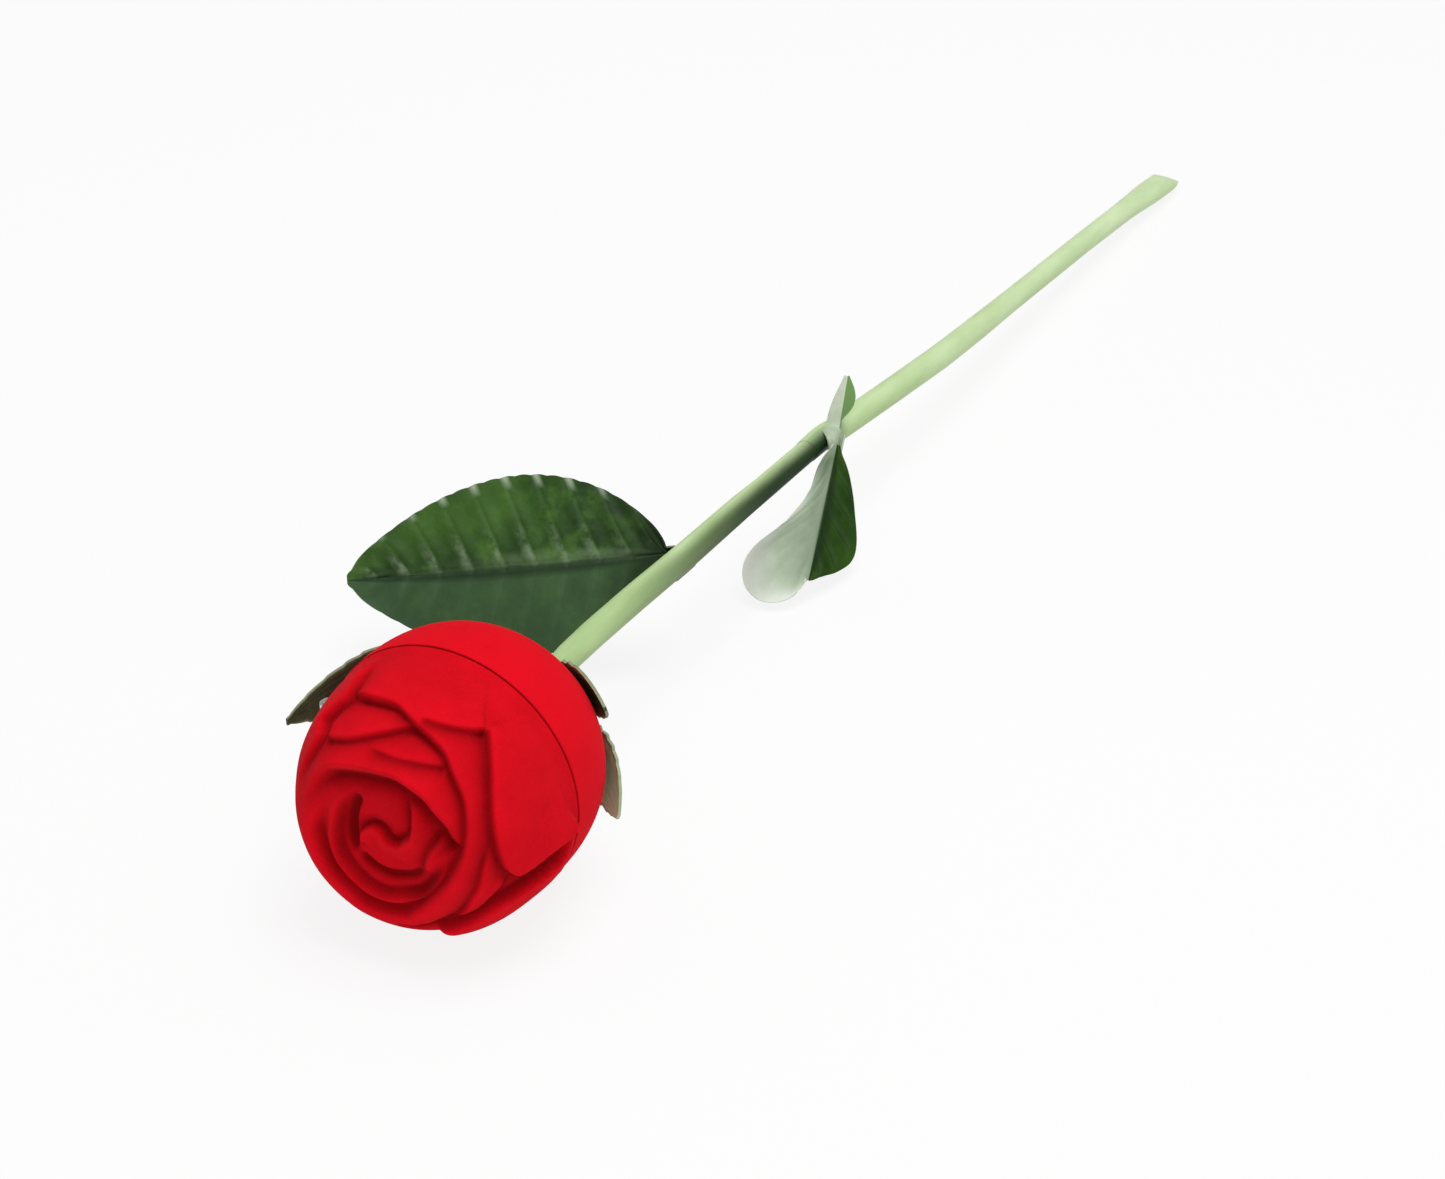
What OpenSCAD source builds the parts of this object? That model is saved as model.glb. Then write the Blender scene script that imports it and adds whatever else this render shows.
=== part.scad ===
// Flocked rosebud ring box on an artificial stem, lying on its side.
// The plane y = 0 is the seam between cup and lid, and the bud's axis is Y:
// the lid's face looks to -Y and the stem runs to +Y. The table lies bud_r
// below the axis. The lid swings about a pin that is parallel to Z.
// Pieces of the bud are drawn upright, with +Z to the tip, and then laid down.

/* [Bud] */
// Radius of the cup at the seam
bud_r = 23; // [21:0.5:26]
// Height of the lid's dome from the seam to the tip
lid_h = 25.5; // [23:0.5:30]
// Depth of the cup from the seam to its flat bottom
cup_h = 23; // [21:0.5:28]
// Wall of the two moulded shells
shell_wall = 1.6; // [1.2:0.1:2]
// Depth of the dished middle of the lid, where the inner petals lie
dish_depth = 4; // [3:0.25:4.5]
// Extra thickness of the lid's face that takes the depth of the petal relief
relief_stock = 2.4; // [2:0.1:3]
// Extra thickness of the lid's side
side_stock = 0.7; // [0.5:0.1:1]
// Open line between cup and lid at the seam
seam_gap = 0.3; // [0.2:0.05:0.5]
// Height of the step at a petal's rim, as a multiple of the moulded one
relief_gain = 1; // [0.5:0.1:1.1]

/* [Lining] */
// Wall of the formed linings
lining_wall = 0.8; // [0.6:0.1:1]
// Glue line between a lining and its shell
glue_gap = 0.1; // [0.05:0.05:0.2]
// How far the cup's lining stands up into the lid
lip_h = 1.6; // [1:0.2:2.4]
// Free ring between that lip and the lid's lining
lip_gap = 0.4; // [0.3:0.05:0.6]

/* [Cushion] */
// Height of the two rolls' crowns above the seam
roll_rise = 1; // [0:0.5:2]
// Height of a roll
roll_h = 11; // [9:0.5:13]
// Width of the ring slot between the rolls
slot_w = 1.6; // [1:0.2:3]
// Radius of the rounding along a roll's crown
roll_round = 4; // [3:0.5:5]
// Thickness of the board that carries the rolls
board_t = 1; // [0.8:0.1:1.5]
// Free play of soft pieces in the lining
soft_gap = 0.3; // [0.2:0.05:0.5]

/* [Hinge] */
// Length of the hinge barrel
hinge_w = 12; // [10:0.5:14]
// Length of the lid's middle knuckle
knuckle_w = 4; // [3:0.5:5]
// Outer diameter of the barrel
barrel_d = 2.6; // [2.4:0.1:3]
// Diameter of the hinge pin
pin_d = 1; // [0.8:0.1:1.2]
// Running clearance between pin and knuckle, on the radius
pin_fit = 0.05; // [0.02:0.01:0.08]
// How far the pin's axis lies outside the cup
pin_out = 0.3; // [0.2:0.1:0.6]
// Thickness of the stamped hinge leaves
leaf_plate = 0.4; // [0.3:0.05:0.5]
// Length of a hinge leaf down the wall
leaf_leg = 7; // [6:0.5:8]
// Clearance of the moving hinge parts
hinge_gap = 0.3; // [0.25:0.05:0.4]
// Thickness of the snap spring
spring_t = 0.3; // [0.2:0.05:0.4]
// Width of the snap spring
spring_w = 3; // [2:0.2:3.4]
// Diameter of the hinge rivets
rivet_d = 1.2; // [1:0.1:1.4]

/* [Stem] */
// Diameter of the stem tube next to the bud
upper_d = 4.4; // [4:0.1:5]
// Diameter of the stem tube beyond the small leaf
lower_d = 3.9; // [3.5:0.1:4.4]
// Length of the tube between the bud's socket and the small leaf
upper_len = 92; // [80:1:104]
// Length of the tube beyond the small leaf
lower_len = 159; // [130:1:190]
// Fall of the upper tube towards its far end
upper_fall = 2; // [1:0.25:3]
// Diameter of the steel wire in the stem
wire_d = 1.6; // [1.2:0.1:2]
// Clearance of the wire and of the stem in their bores, on the radius
wire_fit = 0.05; // [0.03:0.01:0.1]
// Slant of the cut at the stem's end
cut_angle = 40; // [20:5:50]

/* [Calyx] */
// Radius of the calyx dish on the cup
dish_r = 12; // [10:0.5:14]
// Thickness of the moulded calyx
calyx_t = 0.9; // [0.7:0.1:1.2]
// Swelling of the hip over the plug
hip_wall = 1.4; // [1.1:0.1:2.5]
// Length of the hip behind the cup
hip_len = 9; // [8:0.5:12]
// Gap between calyx and cup
calyx_gap = 0.2; // [0.1:0.05:0.3]
// Radius of the plug that joins the stem to the cup
plug_r = 4.2; // [3.8:0.1:4.8]

/* [Leaves] */
// Length of the large leaf's blade
big_len = 55; // [45:1:60]
// Half width of the large leaf
big_half = 15.5; // [11:0.5:17]
// Place of the large leaf along the upper tube
big_at = 42; // [36:1:48]
// Length of the small leaf's blade
small_len = 26; // [23:0.5:29]
// Half width of the small leaf
small_half = 11; // [9:0.5:12]
// Thickness of the leaf blades
blade_t = 0.7; // [0.5:0.1:1]
// Length of the sleeve that holds the small leaf
sleeve_len = 9; // [7:0.5:11]
// Wall of that sleeve
sleeve_wall = 0.8; // [0.6:0.1:1]

/* [Hidden] */
$fa = 5;
$fs = 0.4;
eps = 0.01;

// Colours of the finishes
velvet_red = [0.80, 0.07, 0.11];
lining_red = [0.62, 0.05, 0.08];
cushion_red = [0.72, 0.06, 0.10];
steel = [0.72, 0.72, 0.70];
leaf_green = [0.15, 0.28, 0.11];
stem_green = [0.55, 0.68, 0.42];
sepal_green = [0.25, 0.30, 0.15];

// Lays an upright piece down: its tip looks to -Y
module laid() {
    rotate([90, 0, 0]) children();
}

// ---- Solids between two equal grids of points ----

// Faces of a closed slab whose upper and lower sides are grids of rows x cols points
function slab_faces(rows, cols) =
    let (under = rows * cols)
    concat(
        [for (i = [0:rows - 2], j = [0:cols - 2]) [i * cols + j, i * cols + j + 1, (i + 1) * cols + j]],
        [for (i = [0:rows - 2], j = [0:cols - 2]) [i * cols + j + 1, (i + 1) * cols + j + 1, (i + 1) * cols + j]],
        [for (i = [0:rows - 2], j = [0:cols - 2])
            [under + i * cols + j, under + (i + 1) * cols + j, under + i * cols + j + 1]],
        [for (i = [0:rows - 2], j = [0:cols - 2])
            [under + i * cols + j + 1, under + (i + 1) * cols + j, under + (i + 1) * cols + j + 1]],
        [for (i = [0:rows - 2]) [i * cols, (i + 1) * cols, under + i * cols]],
        [for (i = [0:rows - 2]) [(i + 1) * cols, under + (i + 1) * cols, under + i * cols]],
        [for (i = [0:rows - 2]) [(i + 1) * cols - 1, under + (i + 1) * cols - 1, (i + 2) * cols - 1]],
        [for (i = [0:rows - 2])
            [(i + 2) * cols - 1, under + (i + 1) * cols - 1, under + (i + 2) * cols - 1]],
        [for (j = [0:cols - 2]) [j, under + j, j + 1]],
        [for (j = [0:cols - 2]) [j + 1, under + j, under + j + 1]],
        [for (j = [0:cols - 2])
            [(rows - 1) * cols + j, (rows - 1) * cols + j + 1, under + (rows - 1) * cols + j]],
        [for (j = [0:cols - 2])
            [(rows - 1) * cols + j + 1, under + (rows - 1) * cols + j + 1, under + (rows - 1) * cols + j]]
    );

// Closed slab between two grids, each a list of rows
module slab(upper, lower) {
    polyhedron(
        points = concat([for (row = upper) each row], [for (row = lower) each row]),
        faces = slab_faces(len(upper), len(upper[0]))
    );
}

// ---- The bud's outline ----

// Squareness of the bud's outline: 2 is an ellipse
lid_power = 2.5;
cup_power = 2.4;

// Radius of a rounded outline of half height h and half width w at height z
function outline_r(z, h, w, power) = w * pow(max(0, 1 - pow(abs(z) / h, power)), 1 / power);
// Distance from the centre at the angle psi from the tip
function outline_reach(psi, h, w, power) =
    pow(pow(abs(cos(psi)) / h, power) + pow(sin(psi) / w, power), -1 / power);
// Outline points [radius, height] from height z0 up to the tip, for a revolved half
function outline_points(z0, h, w, power, steps) =
    [for (k = [0:steps])
        let (psi = 90 * (1 - k / steps), reach = outline_reach(psi, h, w, power))
        [reach * sin(psi), max(z0, reach * cos(psi))]];

// Wall that is cut from the outline at the seam and at the tip
lid_in_h = lid_h - dish_depth - shell_wall - relief_stock;
lid_in_r = bud_r - shell_wall - side_stock;
cup_in_h = cup_h - shell_wall;
cup_in_r = bud_r - shell_wall;
lining_out_r = lid_in_r - glue_gap;
lining_in_r = lining_out_r - lining_wall;
cup_lining_r = cup_in_r - glue_gap;
// The plug's flange lies on a flat seat in the bottom of the cup
flange_t = 1;
flange_r = plug_r + 2.4;
seat_h = outline_r(flange_r + 0.4, cup_in_r, cup_in_h, cup_power);

// Solid dome from height z0 to its tip; below the seam its side is straight
module dome(z0, h, w, power, steps = 22) {
    base = z0 < 0 ? [[0, z0], [w, z0]] : [[0, z0]];
    rotate_extrude($fn = 96) polygon(concat(base, outline_points(z0, h, w, power, steps)));
}

// ---- Petal relief of the lid ----
// The petals are laid over one another from the heart outwards. A rim is [height of its step,
// reach of its fall, depth of its crease, width of its crease, fade at its start, fade at its
// end, its course]. The course is drawn on the lid as seen from the tip, in degrees right and
// up from the tip, and the petal stands proud on its left as the course runs.

petal_rims = [
    // curled heart
    [1.9, 3.6, 1.9, 0.7, 0.1, 0.12, [[12, 29], [15, 20], [15, 10], [12, 6], [9, 3], [6, 3], [4, 4],
        [2, 7], [0, 8], [-3, 8], [-7, 5], [-8, 2], [-8, -1], [-6, -4]]],
    // small fold at the heart's side
    [1.3, 2.2, 1.3, 0.8, 0.2, 0.15, [[28, 15], [26, 10], [23, 5], [21, 0], [20, -5]]],
    // inner petal round the heart
    [1.9, 2, 1.3, 2.4, 0.1, 0.15, [[29, 0], [24, -9], [19, -15], [10, -19], [3, -21], [-4, -20],
        [-11, -16], [-16, -10], [-18, -3], [-17, 7], [-14, 15], [-10, 22]]],
    // petal that closes over the heart
    [1.7, 8, 2.2, 2.6, 0.1, 0.05, [[-33, 4], [-29, 13], [-24, 21], [-18, 26], [-8, 29], [0, 30],
        [7, 30], [13, 28], [19, 25], [23, 21], [28, 16], [31, 11], [34, 7]]],
    // two folds above it
    [0.9, 5, 0.7, 0.8, 0.2, 0.08, [[-6, 38], [6, 37], [18, 37], [25, 37]]],
    [1.2, 7, 0.9, 1, 0.08, 0.1, [[-28, 34], [-17, 37], [-10, 40], [-4, 43], [2, 46], [11, 51]]],
    // ring petal of the second turn
    [1.4, 10, 1.6, 1.2, 0.05, 0.06, [[-31, 52], [-19, 54], [-4, 55], [3, 53], [11, 49], [17, 46],
        [23, 42], [27, 36], [33, 26], [35, 15], [34, 5], [30, -5], [26, -11], [21, -17], [15, -23],
        [9, -27], [-5, -27], [-11, -24], [-17, -20], [-22, -15], [-25, -8], [-26, 0], [-22, 13]]],
    // narrow tongue below it
    [1, 6, 0.9, 1, 0.12, 0.08, [[45, 10], [42, 2], [39, -10], [36, -16], [33, -22], [30, -26],
        [33, -26], [38, -24], [43, -18], [48, -13], [50, -9]]],
    // outer petals that reach back to the seam
    [1.3, 12, 0.7, 1.2, 0.12, 0.35, [[10, 53], [21, 52], [31, 52], [36, 54], [45, 60], [58, 71]]],
    [1.9, 14, 1.1, 1.4, 0.03, 0.06, [[37, 56], [39, 49], [42, 35], [44, 17], [47, 2], [50, -6],
        [55, -10], [69, -8], [82, -9], [90, -6]]],
    [1.6, 8, 1.2, 1.2, 0.1, 0.25, [[-40, 7], [-37, 16], [-32, 26], [-30, 34], [-34, 38], [-31, 45],
        [-29, 52], [-37, 64], [-38, 72]]],
    [1.2, 10, 0.6, 1.2, 0.2, 0.2, [[8, -48], [-8, -54], [-26, -52], [-42, -44], [-54, -30],
        [-58, -14], [-56, 2]]],
    [2.4, 20, 1.1, 1.6, 0.08, 0.08, [[88, -9], [79, -20], [66, -20], [55, -20], [45, -23],
        [36, -28], [28, -32], [20, -33]]]
];
// Plain grooves: [depth, half width, fade at the start, fade at the end, course]
petal_grooves = [
    [1.6, 0.8, 0.15, 0.25, [[-11, 20], [-15, 13], [-18, 5], [-18, -2], [-16, -9]]],
    [0.9, 0.7, 0.2, 0.2, [[-11, -6], [-7, -10], [-1, -13], [6, -13], [14, -10], [18, -7], [21, -2]]],
    [0.7, 0.8, 0.25, 0.2, [[4, -32], [11, -34], [18, -32], [25, -29], [30, -26]]]
];
// Millimetres on the surface for one degree from the tip
map_scale = bud_r * PI / 180;
// Half width of the turn from crease to rim
rim_soft = 0.35;
// Degrees of the course that a smooth step adds between two of its points
course_steps = 3;

// Point on the smooth course between points i and i + 1, at the share t
function course_point(pts, i, t) =
    let (
        last = len(pts) - 1,
        p0 = pts[max(0, i - 1)],
        p1 = pts[i],
        p2 = pts[min(last, i + 1)],
        p3 = pts[min(last, i + 2)]
    )
    0.5 * (2 * p1 + (p2 - p0) * t + (2 * p0 - 5 * p1 + 4 * p2 - p3) * t * t
        + (3 * p1 - p0 - 3 * p2 + p3) * t * t * t);
function smooth_course(pts) = concat(
    [for (i = [0:len(pts) - 2], k = [0:course_steps - 1]) course_point(pts, i, k / course_steps)],
    [pts[len(pts) - 1]]);

// Signed distance in mm and share of the course for the nearest place on it
function nearest_on(course, p) =
    let (
        count = len(course) - 1,
        found = [for (i = [0:count - 1])
            let (
                a = course[i],
                ab = course[i + 1] - a,
                t = max(0, min(1, (p - a) * ab / (ab * ab))),
                gap = p - a - ab * t
            )
            [norm(gap), (i + t) / count, ab[0] * gap[1] - ab[1] * gap[0] >= 0 ? 1 : -1]],
        least = min([for (f = found) f[0]]),
        hit = [for (f = found) if (f[0] == least) f][0]
    )
    [hit[0] * hit[2] * map_scale, hit[1]];

function smooth_unit(x) = x * x * (3 - 2 * x);
// A rim swells and dies away over the given shares of its course
function strength(share, ins, outs) =
    smooth_unit(min(1, share / ins)) * smooth_unit(min(1, (1 - share) / outs));

// Height at a place in the map after one more petal is laid over the height h
function laid_over(h, rim, course, p) =
    let (
        near = nearest_on(course, p),
        s = near[0],
        turn = 1 / (1 + exp(-2 * s / rim_soft)),
        proud = rim[0] * pow(max(0, 1 - max(0, s) / rim[1]), 1.5),
        crease = rim[2] * exp(-max(0, -s) / rim[3])
    )
    h + strength(near[1], rim[4], rim[5]) * (turn * (proud - h) - (1 - turn) * crease);
function pile(p, k = 0, h = 0) =
    k == len(petal_rims) ? h : pile(p, k + 1, laid_over(h, petal_rims[k], rim_courses[k], p));
function groove(g, course, p) =
    let (near = nearest_on(course, p))
    g[0] * strength(near[1], g[2], g[3]) * exp(-pow(near[0] / g[1], 2));

rim_courses = [for (rim = petal_rims) smooth_course(rim[6])];
groove_courses = [for (g = petal_grooves) smooth_course(g[4])];
// Depth by which the mould's relief lies below the plain outline
relief_sink = 0.3;
// Reach over which the relief dies towards the seam, in degrees
seam_calm = 6;
function relief(p) =
    let (
        psi = norm(p),
        calm = smooth_unit(max(0.2, min(1, (90 - psi) / seam_calm))),
        cut = [for (k = [0:len(petal_grooves) - 1]) groove(petal_grooves[k], groove_courses[k], p)]
    )
    relief_gain * calm * (pile(p) - cut[0] - cut[1] - cut[2] - relief_sink);

// The dish and the raised bud in its middle: their depth and their reach in degrees
dish_reach = 34;
core_rise = 1;
core_reach = 13;
function dish(psi) = dish_depth * smooth_unit(max(0, 1 - psi / dish_reach))
    - core_rise * smooth_unit(max(0, 1 - psi / core_reach));

// Rows and columns of the lid's relief
lid_rows = 46;
lid_cols = 90;
function lid_surface_point(psi, bearing) =
    let (
        reach = outline_reach(psi, lid_h, bud_r - 0.1, lid_power) - dish(psi)
            + relief(psi * [cos(bearing), sin(bearing)])
    )
    reach * [sin(psi) * cos(bearing), sin(psi) * sin(bearing), cos(psi)];

// Relief dome from the seam up; its floor is flat
module petal_dome() {
    ring = [for (i = [1:lid_rows], j = [0:lid_cols - 1])
        lid_surface_point(90 * i / lid_rows, 360 * j / lid_cols)];
    floor_ring = [for (j = [0:lid_cols - 1]) let (p = ring[(lid_rows - 1) * lid_cols + j]) [p[0], p[1], -2]];
    tip = [0, 0, lid_surface_point(0, 0)[2]];
    count = len(ring);
    polyhedron(
        points = concat(ring, floor_ring, [tip, [0, 0, -2]]),
        faces = concat(
            [for (j = [0:lid_cols - 1]) [count + lid_cols, (j + 1) % lid_cols, j]],
            [for (i = [0:lid_rows - 1], j = [0:lid_cols - 1])
                let (k = (j + 1) % lid_cols)
                [i * lid_cols + j, i * lid_cols + k, (i + 1) * lid_cols + k]],
            [for (i = [0:lid_rows - 1], j = [0:lid_cols - 1])
                let (k = (j + 1) % lid_cols)
                [i * lid_cols + j, (i + 1) * lid_cols + k, (i + 1) * lid_cols + j]],
            [for (j = [0:lid_cols - 1]) [count + j, count + (j + 1) % lid_cols, count + lid_cols + 1]]
        )
    );
}

// ---- Hinge places, upright ----

barrel_r = barrel_d / 2;
pin_x = -(bud_r + pin_out);
pin_z = seam_gap / 2;
leg_w = hinge_w - 2;
// A leg's outer face seats where its far corners meet the wall
cup_leg_x = -sqrt(pow(outline_r(leaf_leg + 1, cup_in_h, cup_in_r, cup_power), 2) - pow(leg_w / 2, 2)) + 0.05;
lid_leg_x = -sqrt(pow(outline_r(leaf_leg + 1, lid_in_h, lid_in_r, lid_power), 2) - pow(leg_w / 2, 2)) + 0.05;
// Height of the recess for a leaf in a rim
recess = leaf_plate + 0.1;
rivet_y = leg_w / 2 - 2;
rivet_z = leaf_leg - 2;
rivet_sink = 1;

// Thickness of the heads that keep the pin in the barrel
pin_head = 0.4;

// Room for the barrel and its pin, cut from shells and linings
module barrel_room(clearance) {
    translate([pin_x, 0, pin_z]) rotate([90, 0, 0])
        cylinder(r = barrel_r + clearance, h = hinge_w + 2 * (pin_head + clearance), center = true, $fn = 48);
}

// Recess for a leaf's plate and leg; side is 1 for the lid and -1 for the cup
module leaf_room(side, leg_x) {
    low = side > 0 ? seam_gap : -recess;
    translate([pin_x, -hinge_w / 2 - 0.2, low - (side > 0 ? 1 : 0)])
        cube([leg_x + leaf_plate + 0.2 - pin_x, hinge_w + 0.4, recess + 1]);
}

// Window in a lining round a leaf's leg and its rivets
module leg_window(side, leg_x) {
    depth = leaf_leg + 0.6;
    translate([leg_x - 6, -leg_w / 2 - soft_gap, side > 0 ? 0 : -depth])
        cube([12, leg_w + 2 * soft_gap, depth]);
}

// Flat pad on a shell's wall that a leg lies against
module leg_pad(side, leg_x, in_r) {
    translate([-in_r - 0.5, -leg_w / 2, side > 0 ? seam_gap : -leaf_leg])
        cube([leg_x + in_r + 0.5, leg_w, leaf_leg - (side > 0 ? seam_gap : 0)]);
}

// Blind holes for the rivets of one leaf
module rivet_holes(side, leg_x) {
    for (y = [-rivet_y, rivet_y])
        translate([leg_x - rivet_sink, y, side * rivet_z]) rotate([0, 90, 0])
            cylinder(d = rivet_d + 0.1, h = rivet_sink + 1, $fn = 24);
}

// Stamped leaf: plate, leg with holes, and knuckles over the given spans
module hinge_leaf(side, leg_x, spans) {
    plate_z = side > 0 ? seam_gap + 0.05 : -0.05 - leaf_plate;
    difference() {
        union() {
            for (span = spans) {
                translate([pin_x, span[1], pin_z]) rotate([90, 0, 0])
                    cylinder(r = barrel_r, h = span[1] - span[0], $fn = 48);
                translate([pin_x, span[0], plate_z])
                    cube([leg_x + leaf_plate - pin_x, span[1] - span[0], leaf_plate]);
            }
            translate([leg_x, -leg_w / 2, side > 0 ? plate_z : -leaf_leg])
                cube([leaf_plate, leg_w, leaf_leg + (side > 0 ? -plate_z : plate_z + leaf_plate)]);
        }
        translate([pin_x, 0, pin_z]) rotate([90, 0, 0])
            cylinder(r = pin_d / 2 + pin_fit, h = hinge_w + 1, center = true, $fn = 32);
        for (y = [-rivet_y, rivet_y])
            translate([leg_x - 1, y, side * rivet_z]) rotate([0, 90, 0])
                cylinder(d = rivet_d + 0.1, h = 3, $fn = 24);
        if (side < 0)
            translate([leg_x - 1, -spring_w / 2 - 0.2, -spring_drop - spring_t - 0.2])
                cube([3, spring_w + 0.4, 6]);
    }
}

// ---- Bud pieces ----

module lid_shell() {
    color(velvet_red) laid() difference() {
        union() {
            difference() {
                petal_dome();
                dome(-3, lid_in_h, lid_in_r, lid_power);
            }
            intersection() {
                leg_pad(1, lid_leg_x, lid_in_r);
                dome(-1, lid_in_h + 0.2, lid_in_r + 0.2, lid_power);
            }
        }
        translate([0, 0, seam_gap - 10]) cube([4 * bud_r, 4 * bud_r, 20], center = true);
        barrel_room(hinge_gap);
        leaf_room(1, lid_leg_x);
        rivet_holes(1, lid_leg_x);
    }
}

module lid_lining() {
    color(lining_red) laid() difference() {
        dome(seam_gap, lid_in_h - glue_gap, lining_out_r, lid_power);
        dome(-1, lid_in_h - glue_gap - lining_wall, lining_in_r, lid_power);
        translate([0, 0, -5 + seam_gap]) cube([4 * bud_r, 4 * bud_r, 10], center = true);
        barrel_room(hinge_gap);
        leaf_room(1, lid_leg_x);
        leg_window(1, lid_leg_x);
    }
}

module cup_shell() {
    color(velvet_red) laid() difference() {
        union() {
            difference() {
                mirror([0, 0, 1]) dome(0, cup_h, bud_r, cup_power);
                intersection() {
                    mirror([0, 0, 1]) dome(-1, cup_in_h, cup_in_r, cup_power);
                    translate([0, 0, -seat_h]) cylinder(r = bud_r, h = 2 * seat_h, $fn = 96);
                }
                translate([0, 0, -cup_h - 1]) cylinder(r = plug_r + wire_fit, h = 5, $fn = 48);
            }
            intersection() {
                leg_pad(-1, cup_leg_x, cup_in_r);
                mirror([0, 0, 1]) dome(-1, cup_in_h + 0.2, cup_in_r + 0.2, cup_power);
            }
        }
        barrel_room(hinge_gap);
        leaf_room(-1, cup_leg_x);
        translate([pin_x - 2, -spring_w / 2 - 0.3, -spring_drop - spring_t - 0.3])
            cube([cup_leg_x - pin_x + 4, spring_w + 0.6, 4]);
        rivet_holes(-1, cup_leg_x);
    }
}

// The lip's outer radius clears the lid's lining
lip_r = lining_in_r - lip_gap;
lip_wall = lining_wall;
// Depth of the cup's lining, which stands on the plug's flange
floor_h = seat_h - flange_t - glue_gap;

module cup_lining() {
    color(lining_red) laid() difference() {
        union() {
            intersection() {
                mirror([0, 0, 1]) dome(0, cup_in_h - glue_gap, cup_lining_r, cup_power);
                translate([0, 0, -floor_h]) cylinder(r = bud_r, h = floor_h, $fn = 96);
            }
            translate([0, 0, -lip_seat]) cylinder(r = lip_r, h = lip_seat + lip_h, $fn = 96);
        }
        intersection() {
            mirror([0, 0, 1])
                dome(-lip_h - 1, cup_in_h - glue_gap - lining_wall, cup_lining_r - lining_wall, cup_power);
            translate([0, 0, -floor_h + lining_wall]) cylinder(r = lip_r - lip_wall, h = 2 * cup_h, $fn = 96);
        }
        barrel_room(hinge_gap);
        leaf_room(-1, cup_leg_x);
        leg_window(-1, cup_leg_x);
        translate([cup_leg_x - 6, -leg_w / 2 - soft_gap, -1]) cube([12, leg_w + 2 * soft_gap, lip_h + 2]);
    }
}
// Depth to which the lip's band thickens the lining
lip_seat = 2.5;

// The cushion stands in the round room inside the lip
cushion_r = lip_r - lip_wall - soft_gap;
board_top = roll_rise - roll_h;
cushion_x = cup_leg_x + leaf_plate + spring_t + 1.4;

// Round column inside the lining with the hinge's side cut flat
module cushion_column(low, high) {
    intersection() {
        translate([0, 0, low]) cylinder(r = cushion_r, h = high - low, $fn = 96);
        mirror([0, 0, 1]) dome(-10, cup_in_h - glue_gap - lining_wall - soft_gap,
            cup_lining_r - lining_wall - soft_gap, cup_power);
        translate([cushion_x, -2 * bud_r, -2 * cup_h]) cube([4 * bud_r, 4 * bud_r, 4 * cup_h]);
    }
}

module foam_block() {
    color([0.86, 0.84, 0.78]) laid()
        cushion_column(-floor_h + lining_wall + 0.1, board_top - board_t - 0.1);
}

module cushion_board() {
    color([0.75, 0.72, 0.66]) laid() cushion_column(board_top - board_t, board_top - 0.1);
}

// One roll: a bar with rounded crown edges on both sides, cut by the round room
module cushion_roll(low_x, high_x) {
    color(cushion_red) laid() intersection() {
        cushion_column(board_top, roll_rise);
        union() {
            for (x = [low_x + roll_round, high_x - roll_round])
                translate([x, 0, roll_rise - roll_round]) rotate([90, 0, 0])
                    cylinder(r = roll_round, h = 2 * bud_r, center = true, $fn = 48);
            translate([low_x + roll_round, -bud_r, board_top])
                cube([high_x - low_x - 2 * roll_round, 2 * bud_r, roll_h]);
            translate([low_x, -bud_r, board_top])
                cube([high_x - low_x, 2 * bud_r, roll_h - roll_round]);
        }
    }
}

module cushion_roll_left() {
    cushion_roll(cushion_x, -slot_w / 2);
}

module cushion_roll_right() {
    cushion_roll(slot_w / 2, cushion_r);
}

// ---- Hinge pieces ----

knuckle_gap = 0.2;
cup_spans = [[-hinge_w / 2, -knuckle_w / 2 - knuckle_gap], [knuckle_w / 2 + knuckle_gap, hinge_w / 2]];
lid_spans = [[-knuckle_w / 2, knuckle_w / 2]];
// Depth of the snap spring's bearing face below the seam
spring_drop = barrel_r - pin_z + 0.15;

module hinge_leaf_cup() {
    color(steel) laid() hinge_leaf(-1, cup_leg_x, cup_spans);
}

module hinge_leaf_lid() {
    color(steel) laid() hinge_leaf(1, lid_leg_x, lid_spans);
}

module hinge_pin() {
    color(steel) laid() translate([pin_x, 0, pin_z]) rotate([90, 0, 0]) {
        cylinder(d = pin_d, h = hinge_w + 0.4, center = true, $fn = 32);
        for (end = [-1, 1])
            translate([0, 0, end * (hinge_w / 2 + 0.05 + pin_head / 2)])
                cylinder(d = pin_d + 0.6, h = pin_head, center = true, $fn = 32);
    }
}

// Flat spring: a shoe under the lid's knuckle, an arm through the leaf, a tail down the leg
module snap_spring() {
    tail_x = cup_leg_x + leaf_plate + 0.05;
    color(steel) laid() {
        translate([pin_x - 0.6, -spring_w / 2, -spring_drop - spring_t])
            cube([tail_x + spring_t - pin_x + 0.6, spring_w, spring_t]);
        translate([tail_x, -spring_w / 2, -leaf_leg + 0.4])
            cube([spring_t, spring_w, leaf_leg - 0.4 - spring_drop]);
    }
}

// Domed rivets through one leaf into its shell
module leaf_rivets(side, leg_x) {
    for (y = [-rivet_y, rivet_y])
        translate([leg_x, y, side * rivet_z]) rotate([0, 90, 0]) {
            translate([0, 0, 0.05 - rivet_sink]) cylinder(d = rivet_d, h = rivet_sink + leaf_plate, $fn = 24);
            translate([0, 0, leaf_plate + 0.05]) intersection() {
                translate([0, 0, -rivet_d * 0.6]) sphere(r = rivet_d * 1.1, $fn = 32);
                cylinder(r = rivet_d, h = 1, $fn = 32);
            }
        }
}

module rivets_cup() {
    color(steel) laid() leaf_rivets(-1, cup_leg_x);
}

module rivets_lid() {
    color(steel) laid() leaf_rivets(1, lid_leg_x);
}

// ---- Calyx, plug and stem ----

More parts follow.
